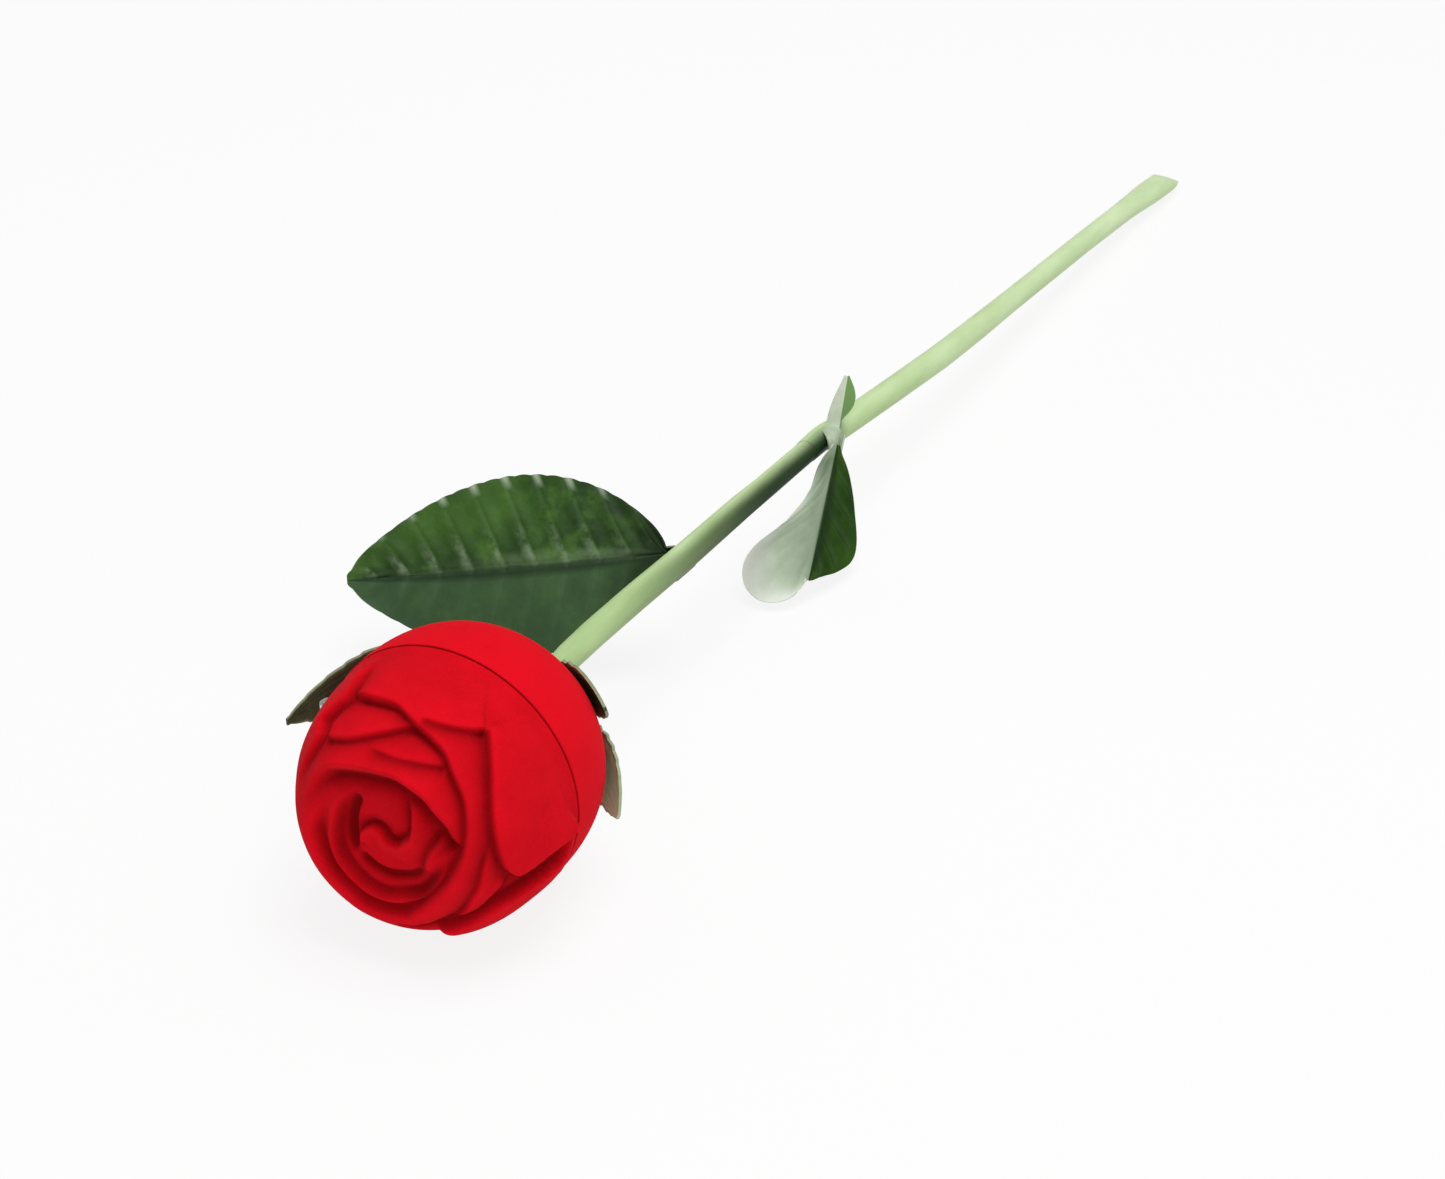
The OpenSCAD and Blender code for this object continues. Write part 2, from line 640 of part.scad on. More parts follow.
// The calyx lies on the cup: its dish follows the cup's outline at a gap
dish_in_h = cup_h + calyx_gap;
dish_in_r = bud_r + calyx_gap;
hip_r = plug_r + hip_wall;
hip_end = cup_h + hip_len;
tube_start = cup_h - shell_wall + 1;
plug_end = hip_end - 4;

// Sepals: [bearing at the base, turn to the tip, reach up the cup in degrees, flare, half width]
sepals = [
    [-22, 4, 66, 1.5, 4.4],
    [32, -6, 56, 1.2, 3.8],
    [100, 6, 36, 0.6, 4],
    [152, 30, 88, 8.6, 4.6],
    [232, 8, 58, 1.2, 4.4]
];
sepal_rows = 14;
sepal_cols = 5;
sepal_teeth = 5;

// Half width along a sepal, with fine teeth on its edge
function sepal_half(share, half) =
    half * pow(sin(min(178, 20 + 160 * share)), 0.8)
        * (1 + 0.12 * ((share * sepal_teeth) % 1)) + 0.25;

function sepal_point(s, share, across, lift) =
    let (
        psi = 24 + (s[2] - 24) * share,
        reach = outline_reach(psi, dish_in_h, dish_in_r, cup_power) + lift + s[3] * share * share,
        radius = max(4, reach * sin(psi)),
        bearing = s[0] + s[1] * share + across * sepal_half(share, s[4]) / radius * 180 / PI
    )
    [radius * cos(bearing), radius * sin(bearing), -reach * cos(psi)];

module sepal(s) {
    function side(lift) = [for (i = [0:sepal_rows - 1])
        [for (j = [0:sepal_cols - 1])
            sepal_point(s, i / (sepal_rows - 1), 1 - 2 * j / (sepal_cols - 1), lift)]];
    slab(side(calyx_t * 0.8), side(0.15));
}

module calyx() {
    color(sepal_green) laid() {
        difference() {
            rotate_extrude($fn = 72) polygon(concat(
                [for (psi = [asin(dish_r / bud_r) : -4 : 8])
                    let (reach = outline_reach(psi, dish_in_h + calyx_t, dish_in_r + calyx_t, cup_power))
                    [reach * sin(psi), -reach * cos(psi)]],
                [[hip_r - 0.4, -cup_h - 1.8], [hip_r, -cup_h - 3], [hip_r, -hip_end + 5],
                    [hip_r - 0.5, -hip_end + 3.6], [upper_d / 2 + 1.4, -hip_end + 1.6],
                    [upper_d / 2 + 0.9, -hip_end], [upper_d / 2 + wire_fit, -hip_end],
                    [upper_d / 2 + wire_fit, -cup_h + 2], [dish_r * 0.8, -cup_h + 4]]
            ));
            mirror([0, 0, 1]) dome(-1, dish_in_h, dish_in_r, cup_power);
            translate([0, 0, -plug_end - 0.1]) cylinder(r = plug_r + wire_fit, h = plug_end, $fn = 48);
        }
        for (s = sepals) sepal(s);
    }
}

module stem_plug() {
    color([0.35, 0.45, 0.25]) laid() difference() {
        union() {
            translate([0, 0, -plug_end]) cylinder(r = plug_r, h = plug_end - seat_h + 0.5, $fn = 48);
            translate([0, 0, -seat_h]) cylinder(r = flange_r, h = flange_t, $fn = 48);
        }
        translate([0, 0, -plug_end - 1])
            cylinder(r = upper_d / 2 + wire_fit, h = plug_end - tube_start + 1, $fn = 48);
        translate([0, 0, -plug_end - 1])
            cylinder(r = wire_d / 2 + wire_fit, h = plug_end - seat_h + 1, $fn = 32);
    }
}

// The upper tube starts inside the plug and kinks down where it leaves the calyx
kink = [0, hip_end + 1.5, 0];
// Direction of a tube that falls by an angle
function fall_dir(a) = [0, cos(a), -sin(a)];
bend = kink + upper_len * fall_dir(upper_fall);
// The lower tube falls until its end lies on the table
lower_fall = asin((bend[2] + bud_r - lower_d / 2) / lower_len);
stem_end = bend + lower_len * fall_dir(lower_fall);

// A ball at a bend is this much larger than the bars that meet in it
ball = 1.04;

// Round bar from a point along +Y, turned down by an angle
module bar(start, fall, r, length, sides = 40) {
    translate(start) rotate([-90 - fall, 0, 0]) cylinder(r = r, h = length, $fn = sides);
}

module stem_tube_upper() {
    r = upper_d / 2;
    bore = wire_d / 2 + wire_fit;
    color(stem_green) difference() {
        union() {
            bar([0, tube_start + 0.1, 0], 0, r, kink[1] - tube_start - 0.1);
            translate(kink) sphere(r = ball * r, $fn = 40);
            bar(kink, upper_fall, r, upper_len);
        }
        bar([0, tube_start - 1, 0], 0, bore, kink[1] - tube_start + 1, 24);
        translate(kink) sphere(r = ball * bore, $fn = 24);
        bar(kink, upper_fall, bore, upper_len + 1, 24);
    }
}

// Stub at the bend where the lower tube meets the sleeve
lower_start = bend + 0.3 * fall_dir(lower_fall);

// The tube's thinner end that sits in the sleeve and under the scale
spigot_len = sleeve_len / 2 + 4.8;
spigot_step = 0.25;

module stem_tube_lower() {
    bore = wire_d / 2 + wire_fit;
    color(stem_green) difference() {
        union() {
            bar(lower_start, lower_fall, lower_d / 2 - spigot_step, spigot_len);
            bar(bend + spigot_len * fall_dir(lower_fall), lower_fall, lower_d / 2, lower_len - spigot_len);
        }
        bar(bend, lower_fall, bore, lower_len + 1, 24);
        translate(stem_end) rotate([-lower_fall, 0, 0]) rotate([cut_angle - 90, 0, 0])
            translate([0, 0, lower_d]) cube([3 * lower_d, 4 * lower_d, 2 * lower_d], center = true);
    }
}

module stem_wire() {
    color([0.5, 0.5, 0.5]) {
        bar([0, seat_h + 0.1, 0], 0, wire_d / 2, kink[1] - seat_h - 0.1, 24);
        translate(kink) sphere(d = ball * wire_d, $fn = 24);
        bar(kink, upper_fall, wire_d / 2, upper_len, 24);
        translate(bend) sphere(d = ball * wire_d, $fn = 24);
        bar(bend, lower_fall, wire_d / 2, lower_len - 2 * lower_d, 24);
    }
}

// ---- Leaves ----
// A leaf is drawn flat: its midrib runs along +X from the base, its upper face is +Z.

leaf_veins = 6;
vein_depth = 0.25;

// Shape of a leaf: [length, half width, roundness of its outline, place of its widest part,
// droop at the tip, then for the -Y half and the +Y half: share of the width, fold, reach of the lobe]
big_leaf = [big_len, big_half, 0.8, 0.85, 3, [1, -8, 0], [1, -6, 0]];
small_leaf = [small_len, small_half, 0.55, 2.8, -1, [1.1, -8, 5], [1, -42, 0.5]];

function leaf_width(leaf, share) =
    leaf[1] * (0.06 + 0.94 * pow(sin(180 * pow(min(0.985, share), leaf[3])), leaf[2]));
function leaf_z(leaf, share) = -leaf[4] * share * share;
function blade_point(leaf, share, s, lift) =
    let (
        wing = s > 0 ? leaf[6] : leaf[5],
        w = leaf_width(leaf, share) * wing[0],
        fold = wing[1],
        a = abs(s),
        vein = vein_depth * sin(180 * a) * cos(360 * (leaf_veins * share - 0.9 * a))
    )
    [
        leaf[0] * share + wing[2] * share * share * sin(180 * min(1, a * 0.8)),
        s * w * cos(fold),
        a * w * sin(fold) + leaf_z(leaf, share) + vein + lift
    ];

module leaf_blade(leaf, rows, cols) {
    function side(lift) = [for (i = [0:rows - 1]) [for (j = [0:cols - 1])
        blade_point(leaf, i / (rows - 1), 2 * j / (cols - 1) - 1, lift)]];
    slab(side(blade_t / 2), side(-blade_t / 2));
}

// Half-round rib glued under the blade's midrib, from before the base to near the tip
rib_r = 1;
rib_rows = 18;
rib_cols = 5;
// Glue line between the blade and its rib
rib_gap = 0.26;
function rib_point(leaf, share, j, flat) =
    let (
        r = rib_r * (1.1 - 0.7 * max(0, share)),
        turn = 180 * j / (rib_cols - 1),
        top = leaf_z(leaf, max(0, share)) - blade_t / 2 - rib_gap - rib_sink(leaf, r)
    )
    [leaf[0] * share, -r * cos(turn), flat ? top : top - 0.1 - r * sin(turn)];
// A folded blade's underside lies lower at the rib's edge than at the midrib
function rib_sink(leaf, r) = r * max(0, sin(-min(leaf[5][1], leaf[6][1]))) + vein_depth * 0.5;

module leaf_rib(leaf, start) {
    function side(flat) = [for (i = [0:rib_rows - 1]) [for (j = [0:rib_cols - 1])
        rib_point(leaf, start + (0.9 - start) * i / (rib_rows - 1), j, flat)]];
    slab(side(true), side(false));
}

// The large leaf springs from the far side of the upper tube
saddle_wall = 0.7;
saddle_len = 7;
big_seat = kink + big_at * fall_dir(upper_fall);
big_base = big_seat + [-upper_d / 2 - saddle_wall - 0.5, 0, 0.6];
big_turn = [-58, 4, 211];

module large_leaf_blade() {
    color(leaf_green) translate(big_base) rotate(big_turn) leaf_blade(big_leaf, 31, 9);
}

// Moulded rib of the large leaf with the saddle that grips the tube from behind
module large_leaf_sprig() {
    grip = upper_d / 2 + wire_fit;
    color(sepal_green) difference() {
        union() {
            translate(big_base) rotate(big_turn) leaf_rib(big_leaf, -0.03);
            translate(big_seat) rotate([-90 - upper_fall, 0, 0]) difference() {
                cylinder(r = grip + saddle_wall, h = saddle_len, center = true, $fn = 48);
                rotate([0, 0, -55]) translate([grip, 0, 0])
                    cube([2 * grip, 4 * grip, 2 * saddle_len], center = true);
            }
        }
        bar(kink, upper_fall, grip, upper_len, 48);
    }
}

// The sleeve lies between the directions of the two tubes, so its bore has room for the bend
sleeve_fall = (upper_fall + lower_fall) / 2;
sleeve_bore = upper_d / 2 + wire_fit + sleeve_len / 2 * sin((lower_fall - upper_fall) / 2);
sleeve_r = sleeve_bore + sleeve_wall;
// The small leaf crosses in front of the sleeve and droops until it lies on the table
small_base = bend + [sleeve_r + 1.1, -1, 1];
// Height of the midrib's end above the table
small_clear = 4;
small_fall = asin((small_base[2] + bud_r - small_clear) / small_len);
small_turn = [-13, small_fall, -77];

module small_leaf_blade() {
    color([0.55, 0.63, 0.50]) translate(small_base) rotate(small_turn) leaf_blade(small_leaf, 25, 9);
}

// Pointed scale that stands up from the sleeve
scale_rows = 8;
scale_cols = 4;
scale_h = 9;
scale_lean = 12;
function scale_point(share, s, lift) =
    [s * 2.4 * sin(150 * (1 - share) + 4), 0.6 * s * s + lift + 2 * share * share, scale_h * share - 1];

// Moulded rib of the small leaf with its sleeve round the bend of the stem
module small_leaf_sprig() {
    sleeve_start = bend - sleeve_len / 2 * fall_dir(sleeve_fall);
    function side(lift) = [for (i = [0:scale_rows - 1]) [for (j = [0:scale_cols - 1])
        scale_point(i / (scale_rows - 1), 2 * j / (scale_cols - 1) - 1, lift)]];
    color(stem_green) difference() {
        union() {
            translate(small_base) rotate(small_turn) leaf_rib(small_leaf, -0.1);
            bar(sleeve_start, sleeve_fall, sleeve_r, sleeve_len);
            translate(bend + [1, sleeve_len / 2 - 1, sleeve_r - 0.9]) rotate([0, scale_lean, 25])
                slab(side(0.5), side(-0.1));
        }
        bar(sleeve_start - fall_dir(sleeve_fall), sleeve_fall, sleeve_bore, sleeve_len + 2);
    }
}

lid_shell();
lid_lining();
cup_shell();
cup_lining();
foam_block();
cushion_board();
cushion_roll_left();
cushion_roll_right();
hinge_leaf_cup();
hinge_leaf_lid();
hinge_pin();
snap_spring();
rivets_cup();
rivets_lid();
calyx();
stem_plug();
stem_wire();
stem_tube_upper();
stem_tube_lower();
large_leaf_blade();
large_leaf_sprig();
small_leaf_blade();
small_leaf_sprig();
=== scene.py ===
import math

import bmesh
import bpy
import numpy as np
from mathutils import Matrix, Vector


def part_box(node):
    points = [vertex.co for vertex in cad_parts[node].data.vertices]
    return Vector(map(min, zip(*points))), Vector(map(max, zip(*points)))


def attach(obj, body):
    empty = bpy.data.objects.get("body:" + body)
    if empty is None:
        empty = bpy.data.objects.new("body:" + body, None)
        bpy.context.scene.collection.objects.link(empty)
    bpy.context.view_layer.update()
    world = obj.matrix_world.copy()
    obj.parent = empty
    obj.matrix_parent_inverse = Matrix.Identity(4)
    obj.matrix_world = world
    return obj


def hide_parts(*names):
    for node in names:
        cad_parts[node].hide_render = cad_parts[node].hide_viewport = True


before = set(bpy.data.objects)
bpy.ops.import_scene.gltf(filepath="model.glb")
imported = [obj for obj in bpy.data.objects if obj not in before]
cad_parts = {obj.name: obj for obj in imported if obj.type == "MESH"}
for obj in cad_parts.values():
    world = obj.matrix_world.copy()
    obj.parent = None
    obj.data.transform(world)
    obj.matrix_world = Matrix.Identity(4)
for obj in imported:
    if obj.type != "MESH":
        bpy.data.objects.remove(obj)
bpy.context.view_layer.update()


# ---- Camera, light and table ----
# Plain pale table top, one large soft lamp overhead, a weak fill from the
# front and an even white room. The camera looks down over the bud's right.

azimuth, elevation = math.radians(28.42), math.radians(31.89)
camera_place = (0.326464, -0.513687, 0.411904)
focal_px, picture_width_px, sensor_mm = 4618.94, 1445, 36
look_back = Vector((math.sin(azimuth) * math.cos(elevation), -math.cos(azimuth) * math.cos(elevation),
                    math.sin(elevation)))
look_right = Vector((math.cos(azimuth), math.sin(azimuth), 0))


def pick(*pieces):
    """Selects these pieces and nothing else; the first of them is the active one."""
    bpy.ops.object.select_all(action="DESELECT")
    for piece in pieces:
        piece.select_set(True)
    if pieces:
        bpy.context.view_layer.objects.active = pieces[0]


pick()
bpy.ops.object.camera_add()
camera = bpy.context.object
turn = Matrix((look_right, look_back.cross(look_right), look_back)).transposed().to_4x4()
camera.matrix_world = Matrix.Translation(camera_place) @ turn
camera.data.sensor_width = sensor_mm
camera.data.lens = focal_px / picture_width_px * sensor_mm
camera.data.clip_start = 0.01
bpy.context.scene.camera = camera
bpy.context.scene.view_settings.view_transform = "Standard"


def hang_lamp(name, place, size, power):
    """A square soft lamp that looks at the bud."""
    pick()
    bpy.ops.object.light_add(type="AREA", location=place)
    lamp = bpy.context.object
    lamp.name = name
    lamp.data.size = size
    lamp.data.energy = power
    lamp.rotation_euler = (-Vector(place)).to_track_quat("-Z", "Y").to_euler()


hang_lamp("overhead_lamp", (0.15, 0.05, 0.9), 0.6, 6.0)
hang_lamp("front_fill", (0.5, -0.9, 0.4), 0.7, 2.4)


class Wire:
    """A socket in a finish's nodes. Sums, products and powers of it add Math nodes."""

    def __init__(self, tree, socket):
        self.tree, self.socket = tree, socket

    def node(self, kind, settings=None, inputs=None, out=0):
        """Adds a node with its settings, feeds its sockets numbers, colours or wires, and gives an output."""
        made = self.tree.nodes.new(kind)
        for name, value in (settings or {}).items():
            if name == "stops":
                ramp = made.color_ramp
                for place, shade in value[2:]:
                    ramp.elements.new(place)
                for stop, (place, shade) in zip(ramp.elements, sorted(value)):
                    stop.position = place
                    stop.color = (*(shade if isinstance(shade, tuple) else (shade,) * 3), 1)
            else:
                setattr(made, name, value)
        for name, value in (inputs or {}).items():
            if isinstance(value, Wire):
                self.tree.links.new(value.socket, made.inputs[name])
            else:
                colour = made.inputs[name].type == "RGBA"
                made.inputs[name].default_value = (*value, 1) if colour else value
        return Wire(self.tree, made.outputs[out])

    def math(self, operation, *values):
        return self.node("ShaderNodeMath", {"operation": operation}, dict(enumerate(values)))

    def blend(self, low, high):
        """Colour that goes from low to high as this wire goes from 0 to 1."""
        return self.node("ShaderNodeMix", {"data_type": "RGBA"}, {0: self, 6: low, 7: high}, 2)

    def ramp(self, *stops):
        return self.node("ShaderNodeValToRGB", {"stops": list(stops)}, {0: self})

    def grain(self, scale, detail=3, rough=0.5, **more):
        """Noise of so many lumps a metre, read along this wire's coordinates."""
        return self.node("ShaderNodeTexNoise", {},
                         {"Vector": self, "Scale": scale, "Detail": detail, "Roughness": rough, **more})

    def stretched(self, factors):
        """Coordinates scaled along each axis."""
        return self.node("ShaderNodeMapping", {}, {"Vector": self, "Scale": factors})

    def attribute(self, name):
        """A number that is kept on the piece's points."""
        return self.node("ShaderNodeAttribute", {"attribute_name": name}, {}, "Fac")

    def relief(self, depth, strength=1.0):
        """Normal of a surface whose height is this wire, from 0 to depth metres."""
        return self.node("ShaderNodeBump", {}, {"Height": self, "Distance": depth, "Strength": strength})

    def feeds(self, name):
        """Links this wire to the finish's shader."""
        self.tree.links.new(self.socket, self.tree.nodes["Principled BSDF"].inputs[name])

    def fraction(self):
        return self.math("FRACT", self)

    def sine(self):
        return self.math("SINE", self)

    def __abs__(self):
        return self.math("ABSOLUTE", self)

    def __add__(self, other):
        return self.math("ADD", self, other)

    def __sub__(self, other):
        return self.math("SUBTRACT", self, other)

    def __rsub__(self, other):
        return self.math("SUBTRACT", other, self)

    def __mul__(self, other):
        return self.math("MULTIPLY", self, other)

    def __pow__(self, other):
        return self.math("POWER", self, other)

    __radd__ = __add__
    __rmul__ = __mul__


def new_finish(name, **constants):
    """A material with constant shader sockets, and a wire of the piece's own coordinates."""
    finish = bpy.data.materials.new(name)
    finish.use_nodes = True
    tree = finish.node_tree
    for socket, value in constants.items():
        tree.nodes["Principled BSDF"].inputs[socket.replace("_", " ")].default_value = value
    return finish, Wire(tree, tree.nodes.new("ShaderNodeTexCoord").outputs["Object"])


def put_on(piece, finish):
    """Makes a finish the piece's only one."""
    piece.data.materials.clear()
    piece.data.materials.append(finish)


def rays_of(tree, *kinds):
    """A wire that is 1 for rays of these kinds and 0 for all others."""
    rays = tree.nodes.new("ShaderNodeLightPath").outputs
    seen = Wire(tree, rays[kinds[0]])
    for kind in kinds[1:]:
        seen = seen.math("MAXIMUM", seen, Wire(tree, rays[kind]))
    return seen


table_z, table_size, table_glow = -0.023, 5, 0.86
pick()
bpy.ops.mesh.primitive_plane_add(size=table_size, location=(0, 0, table_z))
table_top = bpy.context.object
table_top.name = "table_top"
bpy.ops.object.transform_apply()
table_white, here = new_finish("table_white", Base_Color=(0.86, 0.86, 0.86, 1), Roughness=0.95,
                               Specular_IOR_Level=0)
table_tree = table_white.node_tree
glow_share = rays_of(table_tree, "Is Camera Ray", "Is Glossy Ray") * table_glow
glow = here.node("ShaderNodeEmission", {}, {"Color": (1, 1, 1), "Strength": 1})
matt = Wire(table_tree, table_tree.nodes["Principled BSDF"].outputs[0])
lit_top = here.node("ShaderNodeMixShader", {}, {0: glow_share, 1: matt, 2: glow})
table_tree.links.new(lit_top.socket, table_tree.nodes["Material Output"].inputs[0])
put_on(table_top, table_white)

room = bpy.data.worlds.new("room")
bpy.context.scene.world = room
room.use_nodes = True
sky = room.node_tree
light_cast, light_added_in_sight = 0.36, 0.66
room_light = rays_of(sky, "Is Camera Ray", "Is Transmission Ray") * light_added_in_sight + light_cast
sky.nodes["Background"].inputs[0].default_value = (1, 1, 1, 1)
sky.links.new(room_light.socket, sky.nodes["Background"].inputs[1])


# ---- Petalled lid ----
# Half of the bud: a moulded plastic shell whose petals wind round a curled
# heart, flocked with short red velvet pile. It is cut out for the hinge.

mm = 0.001
BUD_R, LID_H, LID_POWER, CUP_POWER = 23.0, 25.5, 2.5, 2.4
SEAM_GAP = 0.3
LID_IN_H, LID_IN_R = 17.5, 20.7
DISH_DEPTH, DISH_REACH, HEART_REACH = 4.0, 34, 13
# The hinge's pin and barrel, and the flat pads inside the shells for its leaves
PIN_X, PIN_Y = -23.3, -0.15
BARREL_R, HINGE_W = 1.3, 12.0
LID_LEG_X, CUP_LEG_X = -18.77, -19.87
PAD_HALF, PAD_REACH = 5.2, 7.2

# Each petal's rim, from the heart outwards: height of the step, reach of its
# fall, depth and width of its crease, fade at both ends, and its course in
# degrees right and up from the tip
PETAL_RIMS = (
    (1.9, 3.6, 1.9, 0.7, 0.10, 0.12, ((12, 29), (15, 20), (15, 10), (12, 6), (9, 3), (6, 3), (4, 4),
     (2, 7), (0, 8), (-3, 8), (-7, 5), (-8, 2), (-8, -1), (-6, -4))),
    (1.3, 2.2, 1.3, 0.8, 0.20, 0.15, ((28, 15), (26, 10), (23, 5), (21, 0), (20, -5))),
    (1.9, 2.0, 1.6, 0.8, 0.10, 0.15, ((29, 0), (24, -9), (19, -15), (10, -19), (3, -21), (-4, -20),
     (-11, -16), (-16, -10), (-18, -3), (-17, 7), (-14, 15), (-10, 22))),
    (1.7, 8.0, 2.0, 1.9, 0.28, 0.05, ((-33, 4), (-29, 13), (-24, 21), (-18, 26), (-8, 29), (0, 30),
     (7, 30), (13, 28), (19, 25), (23, 21), (28, 16), (31, 11), (34, 7))),
    (0.9, 5.0, 0.7, 0.8, 0.20, 0.08, ((-6, 38), (6, 37), (18, 37), (25, 37))),
    (1.2, 7.0, 0.9, 1.0, 0.08, 0.10, ((-28, 34), (-17, 37), (-10, 40), (-4, 43), (2, 46), (11, 51))),
    (1.4, 10.0, 1.6, 1.2, 0.05, 0.06, ((-31, 52), (-19, 54), (-4, 55), (3, 53), (11, 49), (17, 46),
     (23, 42), (27, 36), (33, 26), (35, 15), (34, 5), (30, -5), (26, -11), (21, -17), (15, -23),
     (9, -27), (-5, -27), (-11, -24), (-17, -20), (-22, -15), (-25, -8), (-26, 0), (-22, 13))),
    (1.0, 6.0, 0.9, 1.0, 0.12, 0.08, ((45, 10), (42, 2), (39, -10), (36, -16), (33, -22), (30, -26),
     (33, -26), (38, -24), (43, -18), (48, -13), (50, -9))),
    (1.3, 12.0, 0.7, 1.2, 0.12, 0.10, ((10, 53), (21, 52), (31, 52), (37, 53))),
    (1.9, 14.0, 1.1, 1.4, 0.06, 0.06, ((37, 54), (39, 49), (42, 35), (44, 17), (47, 2), (50, -6),
     (55, -10), (69, -8), (82, -9), (90, -6))),
    (1.6, 8.0, 0.9, 1.2, 0.35, 0.25, ((-40, 7), (-37, 16), (-32, 26), (-30, 34), (-34, 38),
     (-31, 45), (-29, 52), (-37, 64), (-38, 72))),
    (1.2, 10.0, 0.6, 1.2, 0.20, 0.20, ((8, -48), (-8, -54), (-26, -52), (-42, -44), (-54, -30),
     (-58, -14), (-56, 2))),
    (1.9, 20.0, 1.0, 1.4, 0.25, 0.08, ((88, -9), (79, -20), (66, -20), (55, -20), (45, -23),
     (36, -28), (28, -32), (20, -33))),
)
# Plain grooves: depth, half width, fade at both ends, course
PETAL_GROOVES = (
    (1.5, 0.7, 0.15, 0.25, ((-7, 21), (-11, 13), (-13, 5), (-13, -2), (-11, -9))),
    (0.9, 0.7, 0.20, 0.20, ((-11, -6), (-7, -10), (-1, -13), (6, -13), (14, -10), (18, -7), (21, -2))),
    (0.7, 0.8, 0.25, 0.20, ((4, -32), (11, -34), (18, -32), (25, -29), (30, -26))),
)


def smooth_unit(x):
    """Eases from 0 to 1 as x does, and stays there."""
    x = np.clip(x, 0, 1)
    return x * x * (3 - 2 * x)


def outline_reach(psi, height, width, power):
    """Distance from the bud's centre to its outline, psi radians from the tip."""
    return (np.abs(np.cos(psi) / height) ** power + np.abs(np.sin(psi) / width) ** power) ** (-1 / power)


def drawn_course(marks, steps=5):
    """Smooth line through a petal's marks."""
    marks = np.array(marks, float)
    last = len(marks) - 1
    line = []
    for i in range(last):
        before, start, end, after = marks[max(0, i - 1)], marks[i], marks[i + 1], marks[min(last, i + 2)]
        for t in np.arange(steps) / steps:
            line.append(0.5 * (2 * start + (end - before) * t + (2 * before - 5 * start + 4 * end - after) * t * t
                               + (3 * start - before - 3 * end + after) * t ** 3))
    return np.array(line + [marks[last]])


def off_course(course, places):
    """Signed distance in mm from each place to the course, and the share of the course there."""
    nearest = np.full(len(places), 1e9)
    share, side = np.zeros(len(places)), np.ones(len(places))
    for i in range(len(course) - 1):
        along = course[i + 1] - course[i]
        gap = places - course[i]
        t = np.clip(gap @ along / (along @ along), 0, 1)
        gap = gap - t[:, None] * along
        far = np.hypot(gap[:, 0], gap[:, 1])
        hit = far < nearest
        nearest[hit] = far[hit]
        share[hit] = (i + t[hit]) / (len(course) - 1)
        side[hit] = np.where(along[0] * gap[hit, 1] - along[1] * gap[hit, 0] >= 0, 1, -1)
    return nearest * side * BUD_R * math.pi / 180, share


def petal_relief(places):
    """Height of the laid petals in mm, and nearness to a crease and to a rim from 0 to 1, for painted shade and
    highlights.
    """
    height, crease_shade_mask, rim_highlight_mask = np.zeros(len(places)), np.zeros(len(places)), np.zeros(len(places))
    for step, reach, crease, width, ins, outs, marks in PETAL_RIMS:
        off, share = off_course(drawn_course(marks), places)
        strength = smooth_unit(share / ins) * smooth_unit((1 - share) / outs)
        over = 1 / (1 + np.exp(np.clip(-2 * off / 0.35, -60, 60)))
        proud = step * np.maximum(0, 1 - np.maximum(0, off) / reach) ** 1.5
        fall = np.exp(-np.maximum(0, -off) / width)
        height += strength * (over * (proud - height) - (1 - over) * crease * fall)
        crease_shade_mask += strength * (-over * crease_shade_mask + (1 - over) * fall * (1 - crease_shade_mask))
        rim_highlight_mask += strength * (over * np.exp(-np.maximum(0, off) / 1.1) - rim_highlight_mask * (over + (1 - over) * fall))
    for depth, width, ins, outs, marks in PETAL_GROOVES:
        off, share = off_course(drawn_course(marks), places)
        cut = depth * smooth_unit(share / ins) * smooth_unit((1 - share) / outs) * np.exp(-(off / width) ** 2)
        height -= cut
        crease_shade_mask += (1 - crease_shade_mask) * np.minimum(1, cut)
    return height - 0.3, crease_shade_mask, np.clip(rim_highlight_mask, 0, 1)


def edit_all():
    """Opens the active piece's mesh, all of it selected."""
    bpy.ops.object.mode_set(mode="EDIT")
    bpy.ops.mesh.select_all(action="SELECT")


def leave_edit():
    bpy.ops.object.mode_set(mode="OBJECT")


def read_points(mesh):
    """A mesh's points in metres."""
    points = np.zeros(len(mesh.vertices) * 3)
    mesh.vertices.foreach_get("co", points)
    return points.reshape(-1, 3)


def half_ball(name, sides, rings):
    """Upper half of a unit ball with so many rings from the tip to the seam.
    Gives the piece, and each point's angle from the tip and bearing."""
    pick()
    bpy.ops.mesh.primitive_uv_sphere_add(segments=sides, ring_count=2 * rings, radius=1)
    ball = bpy.context.object
    ball.name = name
    edit_all()
    bpy.ops.mesh.bisect(plane_co=(0, 0, 0), plane_no=(0, 0, 1), clear_inner=True, threshold=1e-5)
    leave_edit()
    points = read_points(ball.data)
    return ball, np.arccos(np.clip(points[:, 2], -1, 1)), np.arctan2(points[:, 1], points[:, 0])


def place_points(piece, points):
    """Moves a piece's points to places in mm."""
    piece.data.vertices.foreach_set("co", (np.asarray(points) * mm).ravel())
    piece.data.update()


def store(piece, name, values):
    """Keeps a number on each point of the piece for its finish."""
    layer = piece.data.attributes.new(name, "FLOAT", "POINT")
    layer.data.foreach_set("value", np.full(len(piece.data.vertices), values, np.float32))


def laid(reach, psi, bearing, side=-1):
    """Places on the laid bud: side is -1 for the lid and 1 for the cup."""
    return np.stack([reach * np.sin(psi) * np.cos(bearing), side * reach * np.cos(psi),
                     reach * np.sin(psi) * np.sin(bearing)], -1)


